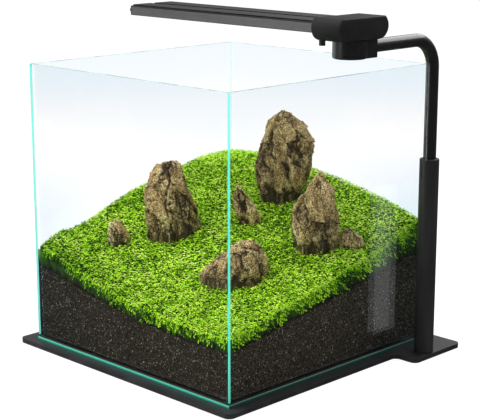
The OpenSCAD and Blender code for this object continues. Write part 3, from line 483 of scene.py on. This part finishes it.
# Size of block and chip faces across, front to back and up; how high they and crumbs stand; cracks
BLOCK, CHIP = (0.015, 0.015, 0.027), (0.0052, 0.0052, 0.009)
BLOCK_HIGH, CHIP_HIGH, CRUMB_HIGH, CRACK_DEEP = 0.0042, 0.0019, 0.0006, 0.0012
STONES = {
    # place across and front to back as shares, height, depth as a share of it, seed, then the outline:
    # share of the height, reach to the left and to the right as shares of the height
    "stone_left": (0.320, 0.370, 0.079, 0.28, 11, [
        (0, 0.37, 0.38), (0.3, 0.39, 0.34), (0.6, 0.34, 0.23), (0.85, 0.24, 0.15), (1, 0.09, 0.09)]),
    "stone_left_small": (0.208, 0.211, 0.024, 0.42, 5, [
        (0, 0.5, 0.42), (0.3, 0.5, 0.46), (0.6, 0.5, 0.29), (0.85, 0.42, 0.08), (1, 0.21, 0.0)]),
    "stone_back_tall": (0.501, 0.791, 0.093, 0.26, 23, [
        (0, 0.27, 0.18), (0.15, 0.32, 0.26), (0.35, 0.34, 0.33), (0.6, 0.28, 0.37),
        (0.85, 0.18, 0.23), (1, 0.08, 0.05)]),
    "stone_slim": (0.512, 0.572, 0.041, 0.22, 31, [
        (0, 0.2, 0.37), (0.2, 0.29, 0.37), (0.5, 0.34, 0.22), (0.75, 0.34, 0.0), (1, 0.27, -0.2)]),
    "stone_right": (0.816, 0.614, 0.078, 0.23, 47, [
        (0, 0.27, 0.31), (0.2, 0.33, 0.31), (0.45, 0.31, 0.31), (0.7, 0.15, 0.24),
        (0.9, 0.01, 0.15), (1, -0.06, 0.12)]),
    "stone_right_low": (0.922, 0.710, 0.018, 0.5, 59, [
        (0, 0.72, 0.67), (0.4, 0.72, 0.56), (0.8, 0.67, 0.06), (1, 0.56, -0.22)]),
    "stone_front": (0.711, 0.295, 0.039, 0.62, 71, [
        (0, 0.79, 0.95), (0.3, 0.59, 0.97), (0.6, 0.28, 0.92), (0.85, -0.08, 0.79),
        (1, -0.33, 0.54)]),
}


def plants_depth(y):
    """Height of the plants over the soil, low at the front and higher at the back."""
    return PLANTS_FRONT + (PLANTS_BACK - PLANTS_FRONT) * uv_at(0, y)[1]


def plants_level(x, y):
    """Height of the plants' surface at a place in the tank."""
    return soil_level(x, y) + plants_depth(y)


def reach_at(outline, q, side):
    """A stone's reach to one side at a share of its height."""
    for low, high in zip(outline, outline[1:]):
        if q <= high[0]:
            share = (q - low[0]) / (high[0] - low[0])
            return low[side] + (high[side] - low[side]) * share
    return outline[-1][side]


def facet(at, cell, drift):
    """A broken face's height at a place, each face tilted its own way, and how far the next one is."""
    spot = Vector((at.x / cell[0], at.y / cell[1], at.z / cell[2])) + drift
    reach, centres = noise.voronoi(spot)
    lean = noise.cell_vector(centres[0] * 9.7) - Vector((0.5, 0.5, 0.5))
    return lean.x * 0.9 + lean.dot(spot - centres[0]), reach[1] - reach[0]


def stone_mesh(form, sides, rings):
    """A craggy upright stone, closed below in the soil, with painted shade for its cracks, hollows and foot
    kept as an attribute.
    """
    u, v, height, deep, seed, outline = form
    foot = Vector(((u - 0.5) * INNER, (v - 0.5) * INNER, 0))
    foot.z = plants_level(foot.x, foot.y)
    bury = plants_depth(foot.y) + STONE_BED
    points, hollows = [], []
    drift = Vector((seed * 1.7, seed * 0.9, seed * 2.3))
    for j in range(rings + 1):
        q = 0 if j == 0 else (j - 1) / (rings - 1)
        left, right = reach_at(outline, q, 1) * height, reach_at(outline, q, 2) * height
        close = 1.0
        if q > SWELL_TOP:
            close = math.sqrt(max(0.0, 1 - ((q - SWELL_TOP) / (1 - SWELL_TOP)) ** 2)) * 0.97 + 0.03
        half_x = (right + left) / 2 * close
        half_y = deep * height * max(0.2, (1 - q ** 2.6) ** 0.6) * (0.4 + 0.6 * close)
        z = -bury if j == 0 else q * height
        for i in range(sides):
            a = 2 * math.pi * i / sides
            turn = math.degrees(a) + 25 * q
            rough = 1 + 0.05 * math.sin(math.radians(3 * turn + 40 * seed))
            rough += 0.035 * math.sin(math.radians(5 * turn - 25 * seed))
            at = Vector(((right - left) / 2 + half_x * rough * math.cos(a), half_y * rough * math.sin(a), z))
            out = Vector((math.cos(a) / max(half_x, 1e-4), math.sin(a) / max(half_y, 1e-4), 0)).normalized()
            out.z = 0.8 * max(0.0, (q - 0.8) / 0.2)
            bent = Vector((at.x + 0.25 * at.z, at.y, at.z))
            bent += noise.noise_vector(bent / 0.012 + drift) * 0.002
            block, block_gap = facet(bent, BLOCK, drift)
            chip, chip_gap = facet(bent, CHIP, drift * 1.7)
            crumb = noise.fractal(at / 0.0026 + drift, 0.8, 2.1, 3)
            crack = max(0.0, 1 - block_gap / 0.10)
            size = max(0.6, min(1.0, height / 0.05)) * (1.0 if j else 0.3)
            push = BLOCK_HIGH * block + CHIP_HIGH * chip + CRUMB_HIGH * crumb - CRACK_DEEP * crack
            points.append(at + out * (size * push))
            # Painted shade: darker on low-set faces, in cracks, near chip edges and towards the foot
            shade_depth = 0.42 - 0.60 * block - 0.60 * chip - 0.30 * crumb + 0.35 * crack
            shade_depth += 0.35 * max(0.0, 1 - q / 0.15)
            hollows.append(min(1.0, max(0.0, shade_depth + 0.18 * max(0.0, 1 - chip_gap / 0.12))))
    points += [sum(points[-sides:], Vector()) / sides, Vector((0, 0, -bury))]
    c = math.sqrt(0.5)
    turned = [foot + Vector((c * (p.x - p.y), c * (p.x + p.y), p.z)) for p in points]
    mesh = made_mesh("stone", turned, closed_faces(rings, sides), hollow=hollows + [0.4, 1.0])
    mesh.shade_smooth()
    return mesh


def kept_value(tree, name):
    """A value that is kept at the mesh's points."""
    return add(tree, "ShaderNodeAttribute", attribute_name=name).outputs["Fac"]


# Weathered brown rock: ochre and grey bands a few mm wide, painted shade in the cracks, hollows and foot,
# dull and gritty
brown_rock, tree, shader, place = finish_for("weathered_brown_rock", Specular_IOR_Level=0.25)
leaning = add(tree, "ShaderNodeMapping", {
    "Vector": place, "Rotation": (0.25, 0.2, 0.7), "Scale": (1, 1, 0.45)}).outputs[0]
bands = speckle(tree, leaning, 90.0, 8, Roughness=0.78, Distortion=0.4)
grit = speckle(tree, place, 900.0, 3)
rock = ramped(tree, bands, [
    (0.28, "#523d20"), (0.42, "#8c7040"), (0.50, "#b2985c"), (0.60, "#dcc68c"), (0.72, "#fff2cc")])
rock = blend(tree, mapped(tree, grit, 0.38, 0.52, 0.9, 0.0), rock, "#2c2213")
rock = blend(tree, mapped(tree, grit, 0.56, 0.68, 0.0, 0.6), rock, "#fff6dc")
# Painted shade from the kept attribute, near black at its deepest
painted_shade_share = mapped(tree, kept_value(tree, "hollow"), 0.36, 0.95, 0.0, 0.90, "LINEAR")
feed(tree, shader, Base_Color=blend(tree, painted_shade_share, rock, "#17110a"),
     Roughness=mapped(tree, grit, *NOISE_SPAN, 0.75, 0.95))
relieve(tree, shader, maths(tree, "ADD", bands, grit), 0.8, 0.0008)
for node, form in STONES.items():
    fine = max(0.45, min(1.0, form[2] / 0.07))
    mesh = stone_mesh(form, round(210 * fine), round(150 * fine))
    piece(node + "_craggy", mesh, brown_rock, "stand", "brown_rock", node)

# ---------------------------------------------------------------- plant carpet
# A dense carpet of small-leaved pondweed over the whole bank: a mat of stems, then leaf rosettes
# set close together, and a fringe of hanging stems where the mat meets the glass.
MAT_DROP, MAT_INSET, MAT_STEP = 0.0024, 0.0026, 0.0024
EDGE_ROUND, EDGE_FALL = 0.008, 0.16
TUFT_HIGH, TUFT_WIDE = 0.0011, 0.008
GROUND_CELLS, GROUND_INSET = 150, 0.0012
# Tufts that stand higher than the rest, along the left pane and in the corner by the post
SWELLS = (
    # place across and front to back, height, reach across and front to back
    (-0.146, -0.132, 0.0100, 0.060, 0.021),
    (-0.146, -0.015, 0.0050, 0.060, 0.026),
    (-0.146, 0.085, 0.0085, 0.060, 0.036),
    (-0.146, 0.146, 0.0045, 0.060, 0.030),
    (0.146, 0.150, 0.0080, 0.045, 0.045),
)


def plants_top(x, y):
    """The plants' surface with its tufts, and its edge rounded over towards the glass."""
    near = INNER / 2 - FILL_GAP - max(abs(x), abs(y))
    fall = max(0.0, 1 - near / EDGE_ROUND)
    level = plants_level(x, y) - plants_depth(y) * EDGE_FALL * (1 - math.sqrt(max(0.0, 1 - fall * fall)))
    for at_x, at_y, height, wide, deep in SWELLS:
        level += height * math.exp(-0.5 * (((x - at_x) / wide) ** 2 + ((y - at_y) / deep) ** 2))
    return level


def mat_place(x, y, z, on_wall):
    """A point of the mat, drawn in between the stems on its sides and tufted on top."""
    if on_wall and abs(abs(x) - abs(y)) < 1e-9:
        return (math.copysign(CORNER_AT, x), math.copysign(CORNER_AT, y), z)
    if on_wall:
        strand = noise.noise(Vector((x / 0.0016, y / 0.0016, z / 0.009)))
        corner = min(1.0, max(0.0, (min(abs(x), abs(y)) - 0.134) / 0.006))
        scale = 1 + (corner * MAT_INSET - 0.0004 - 0.0006 * strand * (1 - corner)) / (INNER / 2)
        return (x * scale, y * scale, z)
    return (x, y, z + TUFT_HIGH * noise.noise(Vector((x, y, 0)) / TUFT_WIDE))


mat_mesh = bank(
    fill_line(FILL_GAP + MAT_INSET, MAT_STEP), 16, 60, lambda x, y: soil_level(x, y) + FILL_GAP,
    lambda x, y: plants_top(x, y) - MAT_DROP, mat_place)
# Mat of stems: deep green strands drawn upright on the sides, darkening towards the foot into brown roots
# and painted shade under the leaves, with painted shade in the gaps between the strands
stem_mat, tree, shader, place = finish_for("pondweed_stems", Specular_IOR_Level=0.2, Roughness=0.7)
upright = add(tree, "ShaderNodeMapping", {"Vector": place, "Scale": (1, 1, 0.12)}).outputs[0]
strands = speckle(tree, upright, 620.0)
ragged = mapped(tree, speckle(tree, upright, 160.0, 3), *NOISE_SPAN, -0.22, 0.22, "LINEAR")
# Darker towards the foot: brown roots, and painted shade under the overhanging leaves
stem_tone_and_shade = ramped(tree, maths(tree, "ADD", kept_value(tree, "drop"), ragged), [
    (0.0, "#1f4105"), (0.35, "#2f6009"), (0.62, "#2b560a"), (0.85, "#253c0c"), (1.0, "#1a1c0f")])
# Painted shade in the gaps between the strands
strand_gap_shade = mapped(tree, strands, 0.35, 0.6, 0.75, 0.0)
feed(tree, shader, Base_Color=blend(tree, strand_gap_shade, stem_tone_and_shade, "#0f1605"))
relieve(tree, shader, strands, 0.7, 0.0006)
piece("plant_mat", mat_mesh, stem_mat, "stand", "carpet_plants", "plant_carpet")


def leaf_cluster(leaves, length, width, lift, seed, shades=(0.0, 1.0), tilt=0.0):
    """A small rosette of rounded, arched leaves, with root to tip and each leaf's tone kept; a darker range
    of tones is painted shade.
    """
    draw = random.Random(seed)
    points, rises, leaf_tones_and_shade, faces = [], [], [], []
    for k in range(leaves):
        turn = k * 2 * math.pi / leaves * (1 if leaves < 5 else 2) + draw.uniform(-0.35, 0.35)
        raised = draw.uniform(*lift)
        size, half = length * draw.uniform(0.8, 1.15), width / 2 * draw.uniform(0.85, 1.1)
        ahead = Vector((math.cos(turn), math.sin(turn), 0))
        beside, up = Vector((-ahead.y, ahead.x, 0)), Vector((0, 0, 1))
        lean = ahead * math.cos(raised) + up * math.sin(raised)
        root, base = up * (0.0004 + 0.0008 * draw.random()), len(points)
        for along, out, drop in ((0.0, 0.0, 0.0), (0.32, 0.85, 0.0), (0.32, -0.85, 0.0),
                                 (0.76, 0.8, 0.25), (0.76, -0.8, 0.25), (1.0, 0.0, 0.5)):
            at = root + lean * size * along + beside * half * out - up * half * drop
            points.append((at.x, at.y * math.cos(tilt) + at.z * math.sin(tilt),
                           at.z * math.cos(tilt) - at.y * math.sin(tilt)))
            rises.append(along)
        leaf_tones_and_shade += [draw.uniform(*shades)] * 6
        faces += [tuple(base + c for c in corner) for corner in ((0, 2, 1), (1, 2, 4), (1, 4, 3), (3, 4, 5))]
    return in_scene("leaves", made_mesh("leaves", points, faces, rise=rises, shade=leaf_tones_and_shade))


def planting_tree():
    """Sets a plant on a surface at a least spacing, turned and sized at random, one shade each."""
    tree = bpy.data.node_groups.new("planting", "GeometryNodeTree")
    sockets = {}
    for name, kind in (("Ground", "NodeSocketGeometry"), ("Plant", "NodeSocketObject"),
                       ("Spacing", "NodeSocketFloat"), ("Smallest", "NodeSocketFloat"),
                       ("Largest", "NodeSocketFloat"), ("Lean", "NodeSocketFloat"),
                       ("Turn", "NodeSocketFloat"), ("Facing", "NodeSocketFloat"),
                       ("Seed", "NodeSocketInt"), ("Finish", "NodeSocketMaterial")):
        sockets[name] = tree.interface.new_socket(name=name, in_out="INPUT", socket_type=kind).identifier
    tree.interface.new_socket(name="Geometry", in_out="OUTPUT", socket_type="NodeSocketGeometry")
    given = add(tree, "NodeGroupInput").outputs
    is_open = add(tree, "GeometryNodeInputNamedAttribute", {"Name": "open"}, data_type="FLOAT").outputs[0]
    points = add(tree, "GeometryNodeDistributePointsOnFaces", {
        "Mesh": given["Ground"], "Distance Min": given["Spacing"], "Density Max": 400000.0,
        "Density Factor": is_open, "Seed": given["Seed"]}, distribute_method="POISSON")
    faced = add(tree, "FunctionNodeAlignRotationToVector", {
        "Factor": given["Facing"], "Vector": points.outputs["Normal"]}, axis="Y", pivot_axis="Z")
    most = add(tree, "ShaderNodeCombineXYZ", {
        "X": given["Lean"], "Y": given["Lean"], "Z": given["Turn"]}).outputs[0]
    least = add(tree, "ShaderNodeVectorMath", {0: most, "Scale": -1.0}, operation="SCALE").outputs[0]
    leaning = add(tree, "FunctionNodeRandomValue", {
        "Min": least, "Max": most, "Seed": given["Seed"]}, data_type="FLOAT_VECTOR").outputs[0]
    leaning = add(tree, "FunctionNodeEulerToRotation", {0: leaning}).outputs[0]
    turned = add(tree, "FunctionNodeRotateRotation", {
        "Rotation": faced.outputs[0], "Rotate By": leaning}, rotation_space="LOCAL")
    size = add(tree, "FunctionNodeRandomValue", {
        2: given["Smallest"], 3: given["Largest"], "Seed": given["Seed"]}, data_type="FLOAT").outputs[1]
    plant = add(tree, "GeometryNodeObjectInfo", {"Object": given["Plant"]}).outputs["Geometry"]
    plants = add(tree, "GeometryNodeInstanceOnPoints", {
        "Points": points.outputs["Points"], "Instance": plant, "Rotation": turned.outputs[0],
        "Scale": size}).outputs[0]
    tone = add(tree, "FunctionNodeRandomValue", {2: 0.0, 3: 1.0, "Seed": 7}, data_type="FLOAT").outputs[1]
    plants = add(tree, "GeometryNodeStoreNamedAttribute", {
        "Geometry": plants, "Name": "tone", "Value": tone}, domain="INSTANCE", data_type="FLOAT").outputs[0]
    whole = add(tree, "GeometryNodeRealizeInstances", {0: plants}).outputs[0]
    dressed = add(tree, "GeometryNodeSetMaterial", {"Geometry": whole, "Material": given["Finish"]})
    add(tree, "NodeGroupOutput", {"Geometry": dressed.outputs[0]})
    return tree, sockets


planting, planting_inputs = planting_tree()


def over_stone(x, y):
    """How far out a place lies from the nearest stone's middle: above 1 is clear of its foot."""
    least = 9.0
    for u, v, height, deep, _, outline in STONES.values():
        dx, dy = x - (u - 0.5) * INNER, y - (v - 0.5) * INNER
        along, beside = math.sqrt(0.5) * (dx + dy), math.sqrt(0.5) * (dy - dx)
        left, right = reach_at(outline, 0.1, 1) * height, reach_at(outline, 0.1, 2) * height
        least = min(least, math.hypot((along - (right - left) / 2) / ((left + right) / 2),
                                      beside / (deep * height)))
    return least


def open_ground(lift):
    """The planted surface as a grid, closed where stones stand."""
    half, cells = INNER / 2 - GROUND_INSET, GROUND_CELLS
    points, free, faces = [], [], []
    for j in range(cells + 1):
        for i in range(cells + 1):
            x, y = half * (2 * i / cells - 1), half * (2 * j / cells - 1)
            points.append((x, y, plants_top(x, y) - MAT_DROP + lift))
            ragged = 0.92 + 0.22 * noise.noise(Vector((x, y, 0)) / 0.006)
            free.append(0.0 if over_stone(x, y) < ragged else 1.0)
    for j in range(cells):
        for i in range(cells):
            a = j * (cells + 1) + i
            faces.append((a, a + 1, a + cells + 2, a + cells + 1))
    return made_mesh("ground", points, faces, open=free)


# Pondweed leaves: fresh yellow green with a soft gloss, each rosette and leaf its own tone, with painted
# shade darkening each leaf towards its root so that the gaps between the leaves stay deep
leaf_green, tree, shader, place = finish_for("pondweed_leaf", Roughness=0.55, Specular_IOR_Level=0.1)
shade_at = mapped(tree, speckle(tree, place, 38.0, 3), *NOISE_SPAN, -0.2, 0.2, "LINEAR")
for name in ("tone", "shade"):
    shade_at = maths(tree, "MULTIPLY_ADD", kept_value(tree, name), 0.5, shade_at)
leaf_tone = ramped(tree, shade_at, [
    (0.0, "#1c3a02"), (0.13, "#549806"), (0.32, "#96dc10"), (0.5, "#c1f728"), (0.72, "#d3fb4a"),
    (0.95, "#eafe8a")])
# Painted shade at each leaf's root
clear_of_root_shade = mapped(tree, kept_value(tree, "rise"), -0.08, 0.42, ease="LINEAR")
feed(tree, shader, Base_Color=blend(tree, clear_of_root_shade, "#143002", leaf_tone))


def plant_out(name, plant, ground, **inputs):
    """Sets one kind of plant on a ground mesh, as a piece of the carpet."""
    item = in_scene("ground", ground)
    grow = item.modifiers.new("planting", "NODES")
    grow.node_group = planting
    for socket, value in {"Plant": plant, "Finish": leaf_green, **inputs}.items():
        grow[planting_inputs[socket]] = value
    mesh = evaluated_mesh(item)
    bpy.data.objects.remove(plant)
    piece(name, mesh, leaf_green, "stand", "carpet_plants")


CARPET = (
    # name, leaves, leaf length, leaf width, lift of the leaves, spacing, height over the mat, seed
    ("carpet_rosettes_low", 5, 0.0020, 0.0016, (0.0, 0.5), 0.0029, 0.0002, 3),
    ("carpet_rosettes_middle", 5, 0.0018, 0.0015, (0.1, 0.6), 0.0028, 0.0012, 4),
    ("carpet_rosettes_high", 4, 0.0017, 0.0014, (0.1, 0.8), 0.0028, 0.0023, 5),
)
for name, leaves, length, width, lift, spacing, height, seed in CARPET:
    plant_out(name, leaf_cluster(leaves, length, width, lift, seed), open_ground(height), Spacing=spacing,
              Smallest=0.75, Largest=1.25, Lean=0.4, Turn=math.pi, Facing=0.0, Seed=seed)


def hanging_stem(length, width, seed):
    """A drooping stem with a few leaves, lying against the glass, from root 0 to tip 1."""
    draw = random.Random(seed)
    points, rises = [], []
    steps = 4
    for k in range(steps + 1):
        share = k / steps
        half = width / 2 * (1 - 0.6 * share)
        bow = 0.0006 * math.sin(share * 3 + seed)
        for side in (-1, 1):
            points.append((side * half + bow, 0.0003 * math.sin(share * 3), -length * share))
            rises.append(0.75 * (1 - share))
    faces = [(2 * k, 2 * k + 2, 2 * k + 3, 2 * k + 1) for k in range(steps)]
    for k in range(5):
        down, side = draw.uniform(0.0, 0.5) * length, draw.choice((-1, 1))
        size, base = draw.uniform(0.0010, 0.0018), len(points)
        for out, off, drop in ((0.0, 0.0001, 0.0), (0.6, 0.0004, -0.1), (1.2, 0.0003, 0.5),
                               (0.3, 0.0004, 0.6)):
            points.append((side * size * out, off, -down + size * drop))
        rises += [0.4, 0.9, 1.0, 0.9]
        faces.append((base, base + 1, base + 2, base + 3))
    # The stems take a darker tone than the leaves, as painted shade
    return in_scene("stem", made_mesh(
        "stem", points, faces, rise=[0.6 * rise for rise in rises], shade=[-0.25] * len(points)))


def wall_ground(inset, share, power, start=0.0):
    """A ribbon round the mat's sides between two shares of its depth, planted least at its foot."""
    line = fill_line(FILL_GAP + inset, 0.004)
    n, rows = len(line), 8
    points, free = [], []
    for k in range(rows + 1):
        for x, y in line:
            down = (start + (share - start) * k / rows) * plants_depth(y)
            points.append((x, y, plants_top(x, y) - 0.0005 - down))
            free.append((1 - k / rows) ** power)
    faces = [(a, d, c, b) for a, b, c, d in ring_faces(rows, n)]
    return made_mesh("ribbon", points, faces, open=free)


for name, length, width, spacing, share, seed in (
        ("fringe_short_stems", 0.0050, 0.0009, 0.0022, 0.5, 21),
        ("fringe_long_stems", 0.0085, 0.0008, 0.0030, 0.6, 22)):
    plant_out(name, hanging_stem(length, width, seed), wall_ground(0.0018, share, 1.2), Spacing=spacing,
              Smallest=0.6, Largest=1.3, Lean=0.1, Turn=0.12, Facing=1.0, Seed=seed)
# The lower fringe takes darker tones than the upper, as painted shade under it
for name, start, share, shades, seed in (
        ("fringe_rosettes_upper", 0.0, 0.28, (-0.1, 0.7), 31),
        ("fringe_rosettes_lower", 0.18, 0.9, (-0.5, 0.1), 32)):
    plant_out(name, leaf_cluster(5, 0.0020, 0.0017, (0.0, 0.5), seed, shades, 1.15),
              wall_ground(0.0020, share, 0.6, start), Spacing=0.0021, Smallest=0.7, Largest=1.1, Lean=0.3,
              Turn=0.3, Facing=1.0, Seed=seed)

# ---------------------------------------------------------------- sliding and swinging arm
# A nylon glide on the tube's lower end runs in the sleeve. The tube, 13.5 mm, is bent once by
# 90 degrees on a 30 mm radius and coated black.
# Natural nylon: milky white, softly glossy
white_nylon = grained(finish_for("natural_nylon"), ["#d9d8d0", "#e8e7e0"], 6, 0.6, 0.02, (0.4, 0.5))
dress(white_nylon, "tube_glide", "friction_washer")
# Black lacquer on bent tube: smoother than the sleeve, with a soft gloss
tube_coat = grained(
    finish_for("black_lacquered_tube", Specular_IOR_Level=0.8), ["#161618", "#1c1c1e"], 9, 0.8, 0.008,
    (0.2, 0.26), (1, 1, 0.15))
dress(tube_coat, "arm_tube")

# ---------------------------------------------------------------- swivel hub
# A die-cast hub clamps the tube's end with a screw; the head turns on its bolt over a washer.
# Coated die cast: black satin, slightly pebbled
HUB_EASE = 0.0005
cast_coat = grained(
    finish_for("coated_die_cast", Specular_IOR_Level=0.35), ["#161718", "#1c1d1f"], 7, 0.9, 0.012,
    (0.36, 0.44))
piece("swivel_hub_coated", eased("swivel_hub", HUB_EASE), cast_coat, "arm", "hub_metal", "swivel_hub")

# ---------------------------------------------------------------- lamp head
# Two moulded halves, screwed together from below, that hold the bar, the driver and the switch.
# Spark-eroded ABS: matt black, a fine even grain that keeps it free of sharp reflections
MOULD_EASE = 0.0003
head_abs = grained(
    finish_for("moulded_black_abs", Specular_IOR_Level=0.16), ["#1b1b1c", "#212122"], 12, 0.45, 0.03,
    (0.62, 0.72))
for node in ("head_housing", "head_cover"):
    piece(node + "_moulded", eased(node, MOULD_EASE, 2), head_abs, "lamp", "head_plastic", node)
dress(zinc_plate, "cover_screws", "bar_screws", "cap_screws")

# ---------------------------------------------------------------- LED bar
# An extruded aluminium bar, grey anodised, with raised pads along its top and a moulded end cap.
# Anodised extrusion: dull metal with fine lines drawn along the bar; its top is coloured darker, nearly
# black in the channels as painted shade, and charcoal on the raised pads
CHANNEL_LEVEL, PAD_LEVEL = 0.3667, 0.3682
BAR_EASE, CAP_EASE = 0.0003, 0.0004
anodised = grained(
    finish_for("anodised_aluminium", Metallic=0.5, Specular_IOR_Level=0.3), ["#5d5c5d", "#666566"], 8, 0.5,
    0.012, (0.42, 0.5), (0.06, 1, 1))
tree = anodised.node_tree
shader = tree.nodes["Principled BSDF"]
height = axes_of(tree, add(tree, "ShaderNodeTexCoord").outputs["Object"])[2]
bar_tone_and_shade = shader.inputs["Base Color"].links[0].from_socket
# Painted shade: nearly black in the channels of the top
bar_tone_and_shade = blend(tree, mapped(tree, height, CHANNEL_LEVEL, CHANNEL_LEVEL + 0.0005), bar_tone_and_shade, "#060606")
bar_tone_and_shade = blend(tree, mapped(tree, height, PAD_LEVEL, PAD_LEVEL + 0.0004), bar_tone_and_shade, "#262627")
feed(tree, shader, Base_Color=bar_tone_and_shade)
piece("led_bar_anodised", eased("led_bar", BAR_EASE, 2), anodised, "lamp", "bar_aluminium", "led_bar")
piece("bar_end_cap_moulded", eased("bar_end_cap", CAP_EASE), black_nylon, "lamp", "black_nylon",
      "bar_end_cap")

# ---------------------------------------------------------------- light board
# Two rows of white LEDs on a white board, behind a slid-in strip of frosted acrylic.
# Solder mask: bright white lacquer with a soft gloss
dress(grained(finish_for("white_solder_mask"), ["#e6e8e6", "#f0f1ef"], 9, 0.8, 0.01, (0.3, 0.4)), "led_board")
# LED phosphor: yellow resin in a white cup
dress(grained(finish_for("led_phosphor"), ["#e3c34a", "#efd873"], 2, 0.4, 0.02, (0.35, 0.45)), "led_chips")
# Frosted acrylic: milky sheet, matt on both faces
dress(grained(finish_for("frosted_acrylic", Alpha=0.88), ["#e2e6e6", "#eef1f0"], 14, 0.4, 0.02, (0.5, 0.6)),
      "diffuser")

# ---------------------------------------------------------------- driver, switch and inlet
# The driver board, the push switch with its button, and the round power inlet at the back.
# Glass fibre board: green lacquer
dress(grained(finish_for("green_circuit_board"), ["#1d4a2c", "#245a36"], 5, 0.6, 0.01, (0.35, 0.45)),
      "driver_board")
dress(grained(finish_for("button_abs"), ["#17181a", "#1f2022"], 3, 0.5, 0.02, (0.4, 0.5)), "switch_button")
# Brass with a bright nickel flash
dress(grained(finish_for("plated_brass", Metallic=1.0), ["#c3bca2", "#d0cab2"], 3, 0.3, 0.005, (0.2, 0.3)),
      "dc_pin")

# ---------------------------------------------------------------- studio
# A wide pale floor, a white surround whose mirror images are dimmer, four soft panels, and a lit
# card close to the tank's right pane, which shows in it as a pale upright strip.
FLOOR_REACH = 30.0


def bare_tree(owner):
    """The emptied node tree of a material or a world."""
    owner.use_nodes = True
    owner.node_tree.nodes.clear()
    return owner.node_tree


# Studio floor: matt white to other pieces, and lit from within to the camera, with a faint shadow
white_floor = bpy.data.materials.new("studio_floor")
tree = bare_tree(white_floor)
sweep = add(tree, "ShaderNodeTexNoise", {"Scale": 3.0, "Detail": 1}).outputs[0]
sweep_tone = ramped(tree, sweep, [(0.0, "#f2f2f2"), (1.0, "#f6f6f6")])
matt = add(tree, "ShaderNodeBsdfDiffuse", {"Color": sweep_tone}).outputs[0]
glow = add(tree, "ShaderNodeEmission", {"Color": linear("#ffffff"), "Strength": 0.95}).outputs[0]
soft = add(tree, "ShaderNodeBsdfDiffuse", {"Color": linear("#747474")}).outputs[0]
seen = add(tree, "ShaderNodeLightPath").outputs["Is Camera Ray"]
lit = add(tree, "ShaderNodeAddShader", {0: soft, 1: glow}).outputs[0]
shown = add(tree, "ShaderNodeMixShader", {0: seen, 1: matt, 2: lit}).outputs[0]
add(tree, "ShaderNodeOutputMaterial", {"Surface": shown})
corners = [(x * FLOOR_REACH, y * FLOOR_REACH, 0) for x, y in ((-1, -1), (1, -1), (1, 1), (-1, 1))]
floor_mesh = made_mesh("floor", corners, [(0, 1, 2, 3)])
floor_mesh.materials.append(white_floor)
floor = in_scene("floor", floor_mesh)
floor.visible_glossy = False

# Surround: plain white to the camera and through glass, a dim room in mirror images with a brighter
# patch behind the tank, and an even soft light on all else
world = bpy.data.worlds.new("surround")
bpy.context.scene.world = world
tree = bare_tree(world)
ray = add(tree, "ShaderNodeLightPath").outputs
plain = maths(tree, "MAXIMUM", ray["Is Camera Ray"], ray["Is Glossy Ray"])
plain = maths(tree, "MAXIMUM", plain, ray["Is Transmission Ray"])
direction = add(tree, "ShaderNodeTexCoord").outputs["Generated"]
skyward = axes_of(tree, direction)[2]
toward = add(tree, "ShaderNodeVectorMath", {0: direction, 1: (-0.34, 0.94, 0.0)}, operation="DOT_PRODUCT")
room = mapped(tree, toward.outputs["Value"], 0.80, 0.96, 0.25, 0.75)
room = maths(tree, "MULTIPLY", room, mapped(tree, skyward, -0.05, 0.25, 0.15, 1.0))
room = maths(tree, "MAXIMUM", room, ray["Is Camera Ray"])
room = maths(tree, "MAXIMUM", room, ray["Is Transmission Ray"])
level = add(tree, "ShaderNodeMix", {0: plain, 2: 0.56, 3: room}, data_type="FLOAT").outputs[0]
surround = add(tree, "ShaderNodeBackground", {"Color": linear("#ffffff"), "Strength": level}).outputs[0]
add(tree, "ShaderNodeOutputWorld", {"Surface": surround})

PANELS = (
    # name, place, size across and up, watts
    ("top_panel", (-0.25, -0.40, 1.35), (0.8, 0.7), 18.0),
    ("left_panel", (-1.39, -0.12, 0.25), (1.15, 1.4), 10.0),
    ("front_left_panel", (-0.44, -1.13, 0.05), (0.5, 0.7), 3.6),
    ("back_panel", (0.15, 1.00, 1.10), (1.3, 0.7), 9.5),
)
AIM = Vector((0.0, 0.0, 0.18))
for name, at, (wide, tall), watts in PANELS:
    lamp = bpy.data.lights.new(name, "AREA")
    lamp.shape, lamp.size, lamp.size_y, lamp.energy = "RECTANGLE", wide, tall, watts
    holder = in_scene(name, lamp)
    holder.location = at
    holder.rotation_mode = "QUATERNION"
    holder.rotation_quaternion = (AIM - Vector(at)).to_track_quat("-Z", "Y")

# Lit card: glows evenly, only towards the pane and only in mirror images
CARD_FRONT, CARD_BACK, CARD_LOW, CARD_HIGH = 0.0695, 0.1050, 0.0285, 0.187
CARD_OFF = 0.154
lit_card = bpy.data.materials.new("lit_card")
tree = bare_tree(lit_card)
glow = add(tree, "ShaderNodeEmission", {"Color": linear("#ffffff"), "Strength": 0.9}).outputs[0]
unseen = add(tree, "ShaderNodeBsdfTransparent").outputs[0]
behind = add(tree, "ShaderNodeNewGeometry").outputs["Backfacing"]
add(tree, "ShaderNodeOutputMaterial", {
    "Surface": add(tree, "ShaderNodeMixShader", {0: behind, 1: glow, 2: unseen}).outputs[0]})
card_mesh = made_mesh("card", [
    (CARD_OFF, CARD_FRONT, CARD_LOW), (CARD_OFF, CARD_FRONT, CARD_HIGH),
    (CARD_OFF, CARD_BACK, CARD_HIGH), (CARD_OFF, CARD_BACK, CARD_LOW)], [(0, 1, 2, 3)])
card_mesh.materials.append(lit_card)
card = in_scene("card", card_mesh)
card.visible_camera = card.visible_diffuse = card.visible_shadow = card.visible_transmission = False

camera_data = bpy.data.cameras.new("camera")
camera_data.lens = 103.68
camera_data.sensor_width = 36.0
camera = in_scene("camera", camera_data)
camera.location = (1.033885, -1.023412, 0.494022)
camera.rotation_euler = (math.radians(90 - 13.2327), 0.0, math.radians(44.8688))
bpy.context.scene.camera = camera
bpy.context.scene.view_settings.view_transform = "Standard"
